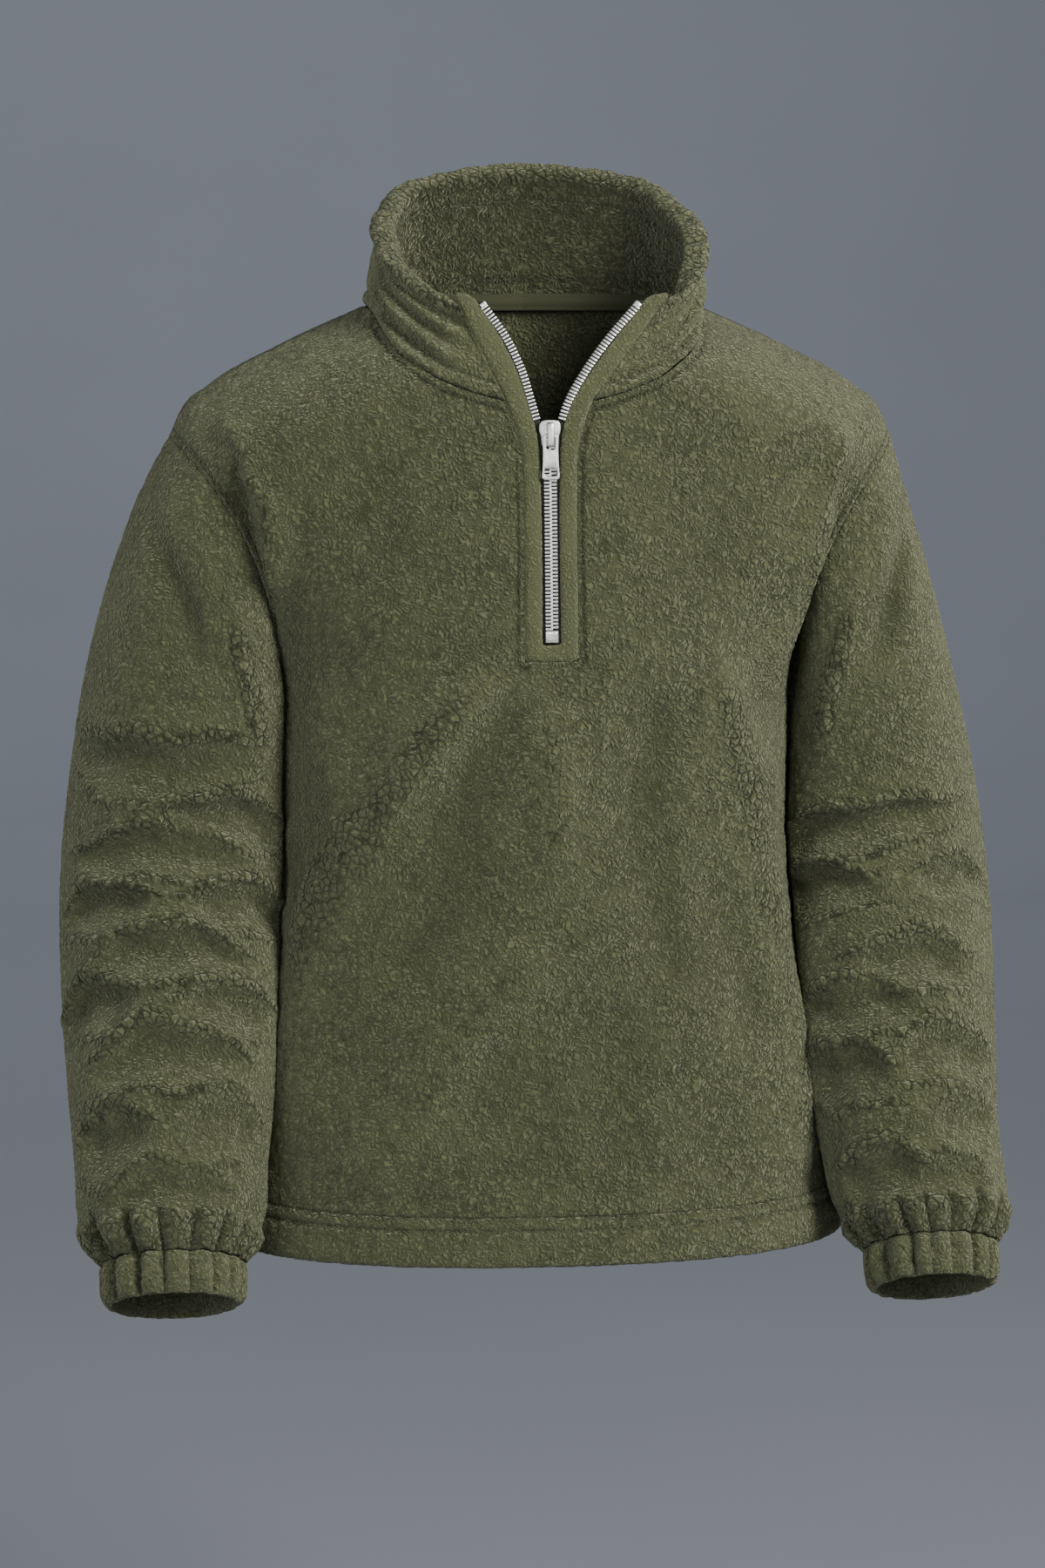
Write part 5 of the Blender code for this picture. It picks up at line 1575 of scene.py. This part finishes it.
def make_collar():
    base, rim, shares, inward = collar_frame(COLLAR_LENGTH)
    tall = np.linalg.norm(rim - base, axis=1).mean()
    profile = np.array(list(rows_of(COLLAR_SECTION))) * np.array([tall, 1.0])
    profile = smooth_loop(profile, COLLAR_STEPS)
    height = profile[:, 0][None, :] / tall
    depth = profile[:, 1][None, :] + np.zeros((len(shares), 1))
    outer = 1 - step(3.0, 6.0, depth)
    inside = step(7.0, 9.5, depth)
    tame = 1 - 0.85 * step(0.70, 0.80, height)
    depth = depth - collar_folds(shares[:, None], height) * outer * tame
    bend = 1.0 * np.sin(shares * 31.0) + 0.5 * np.sin(shares * 57.0 + 1.0)
    depth = depth + (bend[:, None] + 1.2 * np.sin(shares * 19.0 + 2.0)[:, None]) * step(0.1, 0.5, height)
    points = base[:, None] + (rim - base)[:, None] * height[..., None] + inward[:, None] * depth[..., None]
    middle = len(shares) // 2
    normals = tube_normals(points, -inward[middle], (middle, int(np.argmin(profile[:, 1]))))
    height = np.broadcast_to(height, depth.shape)
    on_rim = step(0.79, 0.86, height) * (1 - 0.35 * inside)
    arc = gone_along(profile)
    flat = np.stack(np.broadcast_arrays(shares[:, None] * 560.0, arc[None, :] * 0.5, 0.0 * depth), axis=-1)
    fold = collar_folds(shares[:, None], height) * outer
    crest = np.maximum(on_rim, 0.6 * step(1.0, 3.0, fold))
    nap, mark = pile(points, crest, 7, 0.45, 1.35, 5.8, flat)
    nap = nap * step(0.0, 0.02, np.minimum(shares, 1 - shares))[:, None]
    # Painted shade over the inside of the collar, below its rim.
    inside_shade = inside * (1 - step(0.86, 0.97, height))
    hollow = np.maximum(step(2.0, 6.0, -fold), 0.6 * inside)
    marks = {"clump": mark, "crest": crest, "hollow": hollow, "inside_shade": inside_shade}
    # Painted shade in the collar's stitched grooves.
    seam = np.zeros(depth.shape)
    for at in COLLAR_STITCHES:
        seam = np.maximum(seam, 0.7 * bell((height - at) * tall, 1.6))
    marks["seam"] = seam
    # Painted highlight on the rolled rim and on the folds' ridges, painted shade in the folds' valleys.
    marks["ridge"] = np.clip(fold / 5.0, -1, 1) * 0.6 + 0.8 * on_rim * (1 - 0.7 * inside)
    piece = loft_mesh("collar_cloth", points + normals * nap[..., None], False, marks)
    for at, outside in COLLAR_SEWN:
        rows = np.nonzero((profile[:, 1] < 5.0) == outside)[0]
        row = rows[np.argmin(np.abs(profile[rows, 0] / tall - at))]
        SEWN["collar"].append((points[2:-2, row], normals[2:-2, row], False))
    CLOTH["collar"] = worn(piece, "collar_fleece", "collar")


# ---------------------------------------------------------------- placket and tapes


def placket_lines():
    """Outer and inner edge of the placket, from the right rim down, round its foot and up the left side."""
    zs = np.linspace(OPENING_TOP_Z, PLACKET_FOOT_Z + 2.0, PLACKET_ROWS)
    lines = {"outer": [], "inner": [], "out": []}
    for side, order in (("right", slice(None)), ("left", slice(None, None, -1))):
        outer = outer_edge(side, zs)
        inner = opening_line(side, "inner", zs)
        low = step(PLACKET_FOOT_Z + 2.0, PLACKET_FOOT_Z + 16.0, zs)[:, None]
        drop = np.array([0.0, 0.0, UNDERARM_Z + 3.0 - outer[-1][2]])
        outer = outer + drop * (1 - low)
        lines["outer"].append(outer[order])
        lines["inner"].append(inner[order])
        lines["out"].append(strip_out(side, zs)[order])
        if side == "right":
            x = np.linspace(-1, 1, PLACKET_FOOT_COLUMNS + 2)[1:-1]
            out = lines["out"][0][-1]
            foot = []
            for half, z in ((OUTER_HALF, UNDERARM_Z + 0.6), (INNER_HALF, PLACKET_FOOT_Z)):
                wide = x * half
                ends = (np.abs(x) ** 8) * 1.6
                z = z + ends * np.ones(len(x))
                foot.append(np.stack([wide, torso_y(np.abs(wide), z, "front"), z], axis=1))
            lines["outer"].append(foot[0])
            lines["inner"].append(foot[1])
            lines["out"].append(np.repeat(out[None], len(x), axis=0))
    outer, inner, out = (np.concatenate(lines[name]) for name in ("outer", "inner", "out"))
    return outer, inner, unit(out)


def make_placket():
    """One facing round the zip, its outer edge in a stitched groove and its inner one rolled in."""
    outer, inner, out = placket_lines()
    outer = outer + unit(outer - inner) * PLACKET_LAP
    profile = smooth_loop(list(rows_of(PLACKET_SECTION)), PLACKET_STEPS)
    rise = LOBE * np.sin(np.linspace(math.pi / 2, 0, 8)[:-1])
    lobe = np.sqrt(1 - (rise / LOBE) ** 2).clip(0.05)
    whole = np.concatenate([lobe, np.ones(len(outer)), lobe[::-1]])
    rise = rise[:, None]
    grown = []
    for line in (outer, inner):
        first, last = unit(line[0] - line[3]), unit(line[-1] - line[-4])
        grown.append(np.concatenate([line[0] + first * rise, line, line[-1] + last * rise[::-1]]))
    outer, inner = grown
    out = np.pad(out, ((len(rise), len(rise)), (0, 0)), "edge")
    whole = whole[:, None, None]
    across = 0.3 + (profile[:, 0][None, :, None] - 0.3) * whole
    lift = -1.5 + (profile[:, 1][None, :, None] + 1.5) * whole
    points = outer[:, None] + (inner - outer)[:, None] * across + out[:, None] * lift
    normals = tube_normals(points, out[10], (10, int(np.argmax(profile[:, 1]))))
    height, mark = pile(points, np.full(points.shape[:2], 0.0), 8, 0.32, 0.6, 3.6)
    SEWN["placket"].append((outer[1:-1], out[1:-1], False))
    marks = {"clump": mark * 0.5 + 0.5, "crest": mark * 0}
    piece = loft_mesh("placket_cloth", points + normals * height[..., None], False, marks)
    CLOTH["placket"] = worn(piece, "placket_fleece", "placket_left", "placket_right", "placket_base")


def make_zip_tapes():
    zs = np.linspace(OPENING_TOP_Z - 0.5, PLACKET_FOOT_Z + 0.8, 150)
    for side in SIDES:
        inner = opening_line(side, "inner", zs)
        teeth = opening_line(side, "teeth", zs)
        out = strip_out(side, zs)
        way = unit(inner - teeth)
        near = inner + way * TAPE_UNDER
        ring = []
        for share, lift in TAPE_SECTION:
            ring.append(teeth + (near - teeth) * share + out * (lift - TAPE_SUNK - 0.2))
        name = "zip_tape_" + side
        TAPES[name] = worn(loft_mesh(name + "_cloth", np.stack(ring, axis=1), False), "zip_tape", name)


def make_neck_tape():
    """Smooth tape over the seam at the back of the neck."""
    base, rim, shares, inward = collar_frame(300)
    up = unit(rim - base)
    keep = (shares > NECK_TAPE_FROM) & (shares < 1 - NECK_TAPE_FROM)
    base, up, inward = base[keep], up[keep], inward[keep]
    depth = COLLAR_SECTION["depth"][-1] + NECK_TAPE_GAP
    ring = []
    for height, lift in NECK_TAPE_SECTION:
        ring.append(base + inward * (depth + lift) + up * (NECK_TAPE_LOW + height))
    piece = loft_mesh("neck_tape_cloth", np.stack(ring, axis=1), False)
    TAPES["neck_tape"] = worn(piece, "neck_tape", "neck_tape")


# ---------------------------------------------------------------- zip


def rounded_box(half, radius):
    """Points and faces of a box with rounded edges, about the origin."""
    shape = bmesh.new()
    bmesh.ops.create_cube(shape, size=2.0)
    for vertex in shape.verts:
        vertex.co = Vector([c * h for c, h in zip(vertex.co, half)])
    return bevelled(shape, list(shape.edges), radius, 2, 0.6)


def add_parts(name, parts, made):
    """One mesh from copies of small shapes: (points, faces) each, in millimetres."""
    points, faces, start = [], [], 0
    for some, its_faces in parts:
        points.append(some)
        faces += [[index + start for index in face] for face in its_faces]
        start += len(some)
    quads = [face for face in faces if len(face) == 4]
    others = [face for face in faces if len(face) != 4]
    piece = add_mesh(name, np.concatenate(points), quads, others)
    turned_out(piece)
    painted(piece, made)
    return piece


def tooth_shape():
    """A tooth along +x from its foot on the tape to its head, which is thinner than its foot."""
    points, faces = rounded_box((TOOTH_LENGTH / 2, TOOTH_THICK / 2, TOOTH_TALL / 2), 0.34)
    x = points[:, 0] / (TOOTH_LENGTH / 2)
    points[:, 2] *= 1.0 - 0.16 * step(0.1, 0.7, x)
    points[:, 1] *= 1.0 - 0.12 * step(0.4, 1.0, x)
    points[:, 2] *= 1.0 - 0.22 * bell(x - 0.15, 0.22)
    return points, faces


def placed(shape, place, along, up, out):
    """A shape's copy with its x along, its z up and its -y out."""
    points, faces = shape
    return place + points[:, :1] * along + points[:, 2:] * up - points[:, 1:2] * out, faces


def row_frames(points, out):
    """Directions along a row of points and square to it, pointing out."""
    along = unit(np.gradient(points, axis=0))
    out = unit(out - (out * along).sum(axis=1, keepdims=True) * along)
    return along, out


def make_teeth(metal):
    tooth = tooth_shape()
    zs = np.arange(STOP_TOP_Z + 1.2, PULL_AXIS_Z - 4, TOOTH_PITCH)
    parts = []
    reach = TOOTH_LENGTH / 2 - TOOTH_LAP
    sunk = TAPE_SUNK - TOOTH_LIFT - TOOTH_THICK / 2
    for row, sign in enumerate((-1, 1)):
        for z in zs + row * TOOTH_PITCH / 2:
            place = np.array([sign * reach, zip_face_y(z) + sunk, z])
            along = np.array([-sign, 0.0, 0.0])
            parts.append(placed(tooth, place, along, np.array([0, 0, 1.0]), np.array([0, -1.0, 0])))
    worn(add_parts("teeth_closed", parts, metal), "zip_metal", "zip_teeth_closed")
    for side in SIDES:
        dense = opening_line(side, "teeth", np.linspace(SLIDER_TOP_Z + 1, OPENING_TOP_Z - 3.6, 200))
        row = spaced(dense, int(gone_along(dense)[-1] / TOOTH_PITCH))
        across = unit(opening_line(side, "inner", row[:, 2]) - row)
        up, out = row_frames(row, strip_out(side, row[:, 2]))
        across = unit(across - (across * up).sum(axis=1, keepdims=True) * up)
        parts = []
        for k in range(len(row)):
            place = row[k] + across[k] * reach - out[k] * sunk
            parts.append(placed(tooth, place, -across[k], up[k], out[k]))
        worn(add_parts("teeth_" + side, parts, metal), "zip_metal", "zip_teeth_" + side)
        top = opening_line(side, "teeth", np.array([OPENING_TOP_Z - 2.0, OPENING_TOP_Z - 1.0]))
        shape = rounded_box(TOP_STOP_HALF, 0.6)
        place = top[0] + across[-1] * 1.4 - out[-1] * 0.6
        parts = [placed(shape, place, -across[-1], up[-1], out[-1])]
        worn(add_parts("top_stop_" + side, parts, metal), "zip_metal", "zip_top_stop_" + side)
    z = STOP_TOP_Z - STOP_HEIGHT / 2
    y = zip_face_y(z) + 0.2
    shape = rounded_box(STOP_HALF, 0.7)
    parts = [(shape[0] + np.array([0.0, y, z]), shape[1])]
    for lift in (-1.6, 1.6):
        bar = rounded_box(STOP_BAR_HALF, 0.2)
        parts.append((bar[0] + np.array([0.0, y - STOP_HALF[1], z + lift]), bar[1]))
    worn(add_parts("bottom_stop", parts, metal), "zip_metal", "zip_bottom_stop")


def outline_plate(outline, holes, low, high, bevel):
    """A flat plate with rounded edges from an outline of x, height points, with holes cut through it."""
    shape = bmesh.new()
    edges = []
    for loop in [outline, *holes]:
        corners = [shape.verts.new((x, 0.0, height)) for x, height in loop]
        edges += [shape.edges.new((a, b)) for a, b in zip(corners, corners[1:] + corners[:1])]
    filled = bmesh.ops.triangle_fill(shape, use_beauty=True, use_dissolve=False, edges=edges)
    faces = [item for item in filled["geom"] if isinstance(item, bmesh.types.BMFace)]
    thick = high - low
    made = bmesh.ops.extrude_face_region(shape, geom=faces)
    for item in made["geom"]:
        if isinstance(item, bmesh.types.BMVert):
            item.co.y -= thick
    bmesh.ops.recalc_face_normals(shape, faces=shape.faces)
    rims = [edge for edge in shape.edges if len(edge.link_faces) == 2 and edge.calc_face_angle(0) > 0.9]
    rims = [edge for edge in rims if abs(edge.verts[0].co.y - edge.verts[1].co.y) < thick / 2]
    points, faces = bevelled(shape, rims, bevel, 3, 0.5)
    points[:, 1] -= low
    return points, faces


def mirrored_outline(rows):
    """A closed outline from (half width, height) rows going down one side, made smooth and mirrored."""
    rows = np.array(rows, float)
    both = np.concatenate([rows, (rows * np.array([-1.0, 1.0]))[::-1]])
    return smooth_loop(both, OUTLINE_STEPS * len(rows)).tolist()


def make_slider(steel):
    axis, up, out = slider_frame()
    along = np.array([1.0, 0.0, 0.0])
    face = axis - out * PULL_AXIS_OUT
    parts = []
    outline = mirrored_outline(SLIDER_OUTLINE)
    for low, high, bevel in ((-SLIDER_THICK, 0.0, 0.55), (-SLIDER_THICK - 2.6, -SLIDER_THICK - 1.6, 0.3)):
        parts.append(placed(outline_plate(outline, [], low, high, bevel), face, along, up, out))
    for sign in (-1, 1):
        wall = rounded_box(SLIDER_WALL_HALF, 0.4)
        place = face + along * sign * 4.9 - out * 2.4 - up * 1.2
        parts.append(placed(wall, place, along, up, out))
    ring = subdivided_curve(np.array(list(rows_of(BRIDGE))), 6)
    count = len(ring)
    points = []
    for low_h, low_lift, high_h, high_lift in ring:
        for x, share in BRIDGE_CROSS:
            height = low_h + (high_h - low_h) * share
            lift = low_lift + (high_lift - low_lift) * share
            points.append(face + along * x * BRIDGE_WIDTH / 2 + up * height + out * lift)
    parts.append((np.array(points), tube_faces(count, len(BRIDGE_CROSS))))
    worn(add_parts("slider", parts, steel), "slider_metal", "zip_slider")

    holes = [mirrored_outline(PULL_SLOT), mirrored_outline(PULL_WINDOW)]
    tab = outline_plate(mirrored_outline(PULL_OUTLINE), holes, 0.0, PULL_THICK, 0.4)
    parts = [placed(tab, axis - out * PULL_THICK / 2, along, up, out)]
    worn(add_parts("pull_tab", parts, steel), "pull_metal", "zip_pull", body="pull")


# ---------------------------------------------------------------- thread and the cut of the cloth


def stitch_shape():
    """A stitch along x whose ends dip into the cloth."""
    rings = ((-0.5, 0.35, -0.45), (-0.32, 1.0, 0.0), (0.32, 1.0, 0.0), (0.5, 0.35, -0.45))
    angles = full_turn(5)
    points = []
    for x, share, dip in rings:
        for angle in angles:
            thick = STITCH_THICK * share
            points.append((x * STITCH_LENGTH, -dip - thick * math.cos(angle), thick * math.sin(angle)))
    return np.array(points), tube_faces(len(rings), len(angles))


def sew(name, lines, lift, made):
    """Thread along lines of points: one mesh of short stitches sunk in their groove."""
    shape, parts = stitch_shape(), []
    for points, out, closed in lines:
        if closed:
            points, out = np.concatenate([points, points[:1]]), np.concatenate([out, out[:1]])
        gone = gone_along(points)
        for at in np.arange(STITCH_PITCH / 2, gone[-1] - STITCH_PITCH / 4, STITCH_PITCH):
            here = read_line(np.array([at - 1, at, at + 1]), gone, points)
            up = unit(read_line(at, gone, out))
            along = unit(here[2] - here[0])
            up = unit(up - along * (up * along).sum())
            parts.append(placed(shape, here[1] + up * lift, along, np.cross(along, up), up))
    piece = add_parts(name, parts, made)
    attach(piece, "garment")


def make_thread():
    made = Nodes("thread", 0.7, Specular_IOR_Level=0.3, Sheen_Weight=0.2)
    twist = made.waves(700.0, 1.0)
    made.colour(made.mix(twist, colour(0.062, 0.066, 0.033), colour(0.105, 0.110, 0.056)))
    made.bump(twist, 0.08)
    lifts = {"front": -0.35, "back": -0.35, "hem": 0.0, "collar": 0.05, "placket": -0.5}
    for name, lines in SEWN.items():
        sew("stitches_" + name, lines, lifts[name], made.made)


# ---------------------------------------------------------------- camera, light and floor


def look_at(thing, target):
    way = Vector(target) - thing.location
    thing.rotation_euler = way.to_track_quat("-Z", "Y").to_euler()


def make_camera():
    data = bpy.data.cameras.new("view")
    camera = bpy.data.objects.new("view", data)
    bpy.context.scene.collection.objects.link(camera)
    data.sensor_fit = "AUTO"
    data.sensor_width = CAMERA["sensor_mm"]
    data.lens = CAMERA["sensor_mm"] * CAMERA["focal_px"] / CAMERA["frame_px"]
    data.clip_start, data.clip_end = 0.05, 50.0
    azimuth, pitch = math.radians(CAMERA["azimuth"]), math.radians(CAMERA["pitch"])
    target = np.array(CAMERA["target"])
    back = np.array(
        [math.sin(azimuth) * math.cos(pitch), -math.cos(azimuth) * math.cos(pitch), math.sin(pitch)]
    )
    camera.location = (target + back * CAMERA["distance"]) * MM
    look_at(camera, target * MM)
    bpy.context.scene.camera = camera


def add_light(name, place, target, size, watts, tint):
    data = bpy.data.lights.new(name, "AREA")
    data.shape = "RECTANGLE"
    data.size, data.size_y = size
    data.energy = watts
    data.color = tint
    lamp = bpy.data.objects.new(name, data)
    lamp.location = place
    bpy.context.scene.collection.objects.link(lamp)
    look_at(lamp, target)


def make_room():
    """A pale floor that runs up into a far wall, soft lamps and a dim even sky."""
    profile = [(FLOOR_NEAR_Y, FLOOR_Z), (WALL_Y - WALL_BEND, FLOOR_Z)]
    for angle in np.linspace(0, math.pi / 2, 13):
        y = WALL_Y - WALL_BEND * (1 - math.sin(angle))
        profile.append((y, FLOOR_Z + WALL_BEND * (1 - math.cos(angle))))
    profile.append((WALL_Y, WALL_TOP_Z))
    points = [(x / MM, y / MM, z / MM) for y, z in profile for x in (-FLOOR_HALF, FLOOR_HALF)]
    quads = [(2 * i, 2 * i + 1, 2 * i + 3, 2 * i + 2) for i in range(len(profile) - 1)]
    floor = add_mesh("floor", points, quads)
    paint = Nodes("floor_paint", 0.9)
    grain = paint.noise(400.0, 2.0).outputs["Fac"]
    paint.colour(paint.mix(grain, *(colour(*dye) for dye in FLOOR_DYES)))
    painted(floor, paint.made)
    for lamp in LAMPS:
        add_light(*lamp)
    world = bpy.data.worlds.new("sky")
    world.use_nodes = True
    sky = world.node_tree.nodes["Background"]
    sky.inputs["Color"].default_value = colour(*SKY_DYE)
    sky.inputs["Strength"].default_value = SKY_STRENGTH
    bpy.context.scene.world = world


CLOTH = {}
TAPES = {}
SEWN = {"front": [], "back": [], "hem": [], "collar": [], "placket": []}
make_camera()
make_room()
make_panels()
make_sleeves()
make_cuffs()
make_hem()
make_collar()
make_placket()
make_zip_tapes()
make_neck_tape()
make_teeth(bright_metal())
make_slider(satin_metal())
make_thread()
pile_cloth = fleece("olive_pile", OLIVE)
light_cloth = fleece("olive_light_pile", [c * 1.12 for c in OLIVE])
for name, piece in CLOTH.items():
    painted(piece, light_cloth if name in ("collar", "cuff_left", "cuff_right") else pile_cloth)
painted(CLOTH["placket"], fleece("olive_short_pile", [c * 1.04 for c in OLIVE], 2.9, 0.55))
zip_cloth = tape_cloth("zip_tape_weave", TAPE_DYE)
neck_cloth = tape_cloth("neck_tape_weave", NECK_TAPE_DYE)
for name, piece in TAPES.items():
    painted(piece, neck_cloth if name == "neck_tape" else zip_cloth)
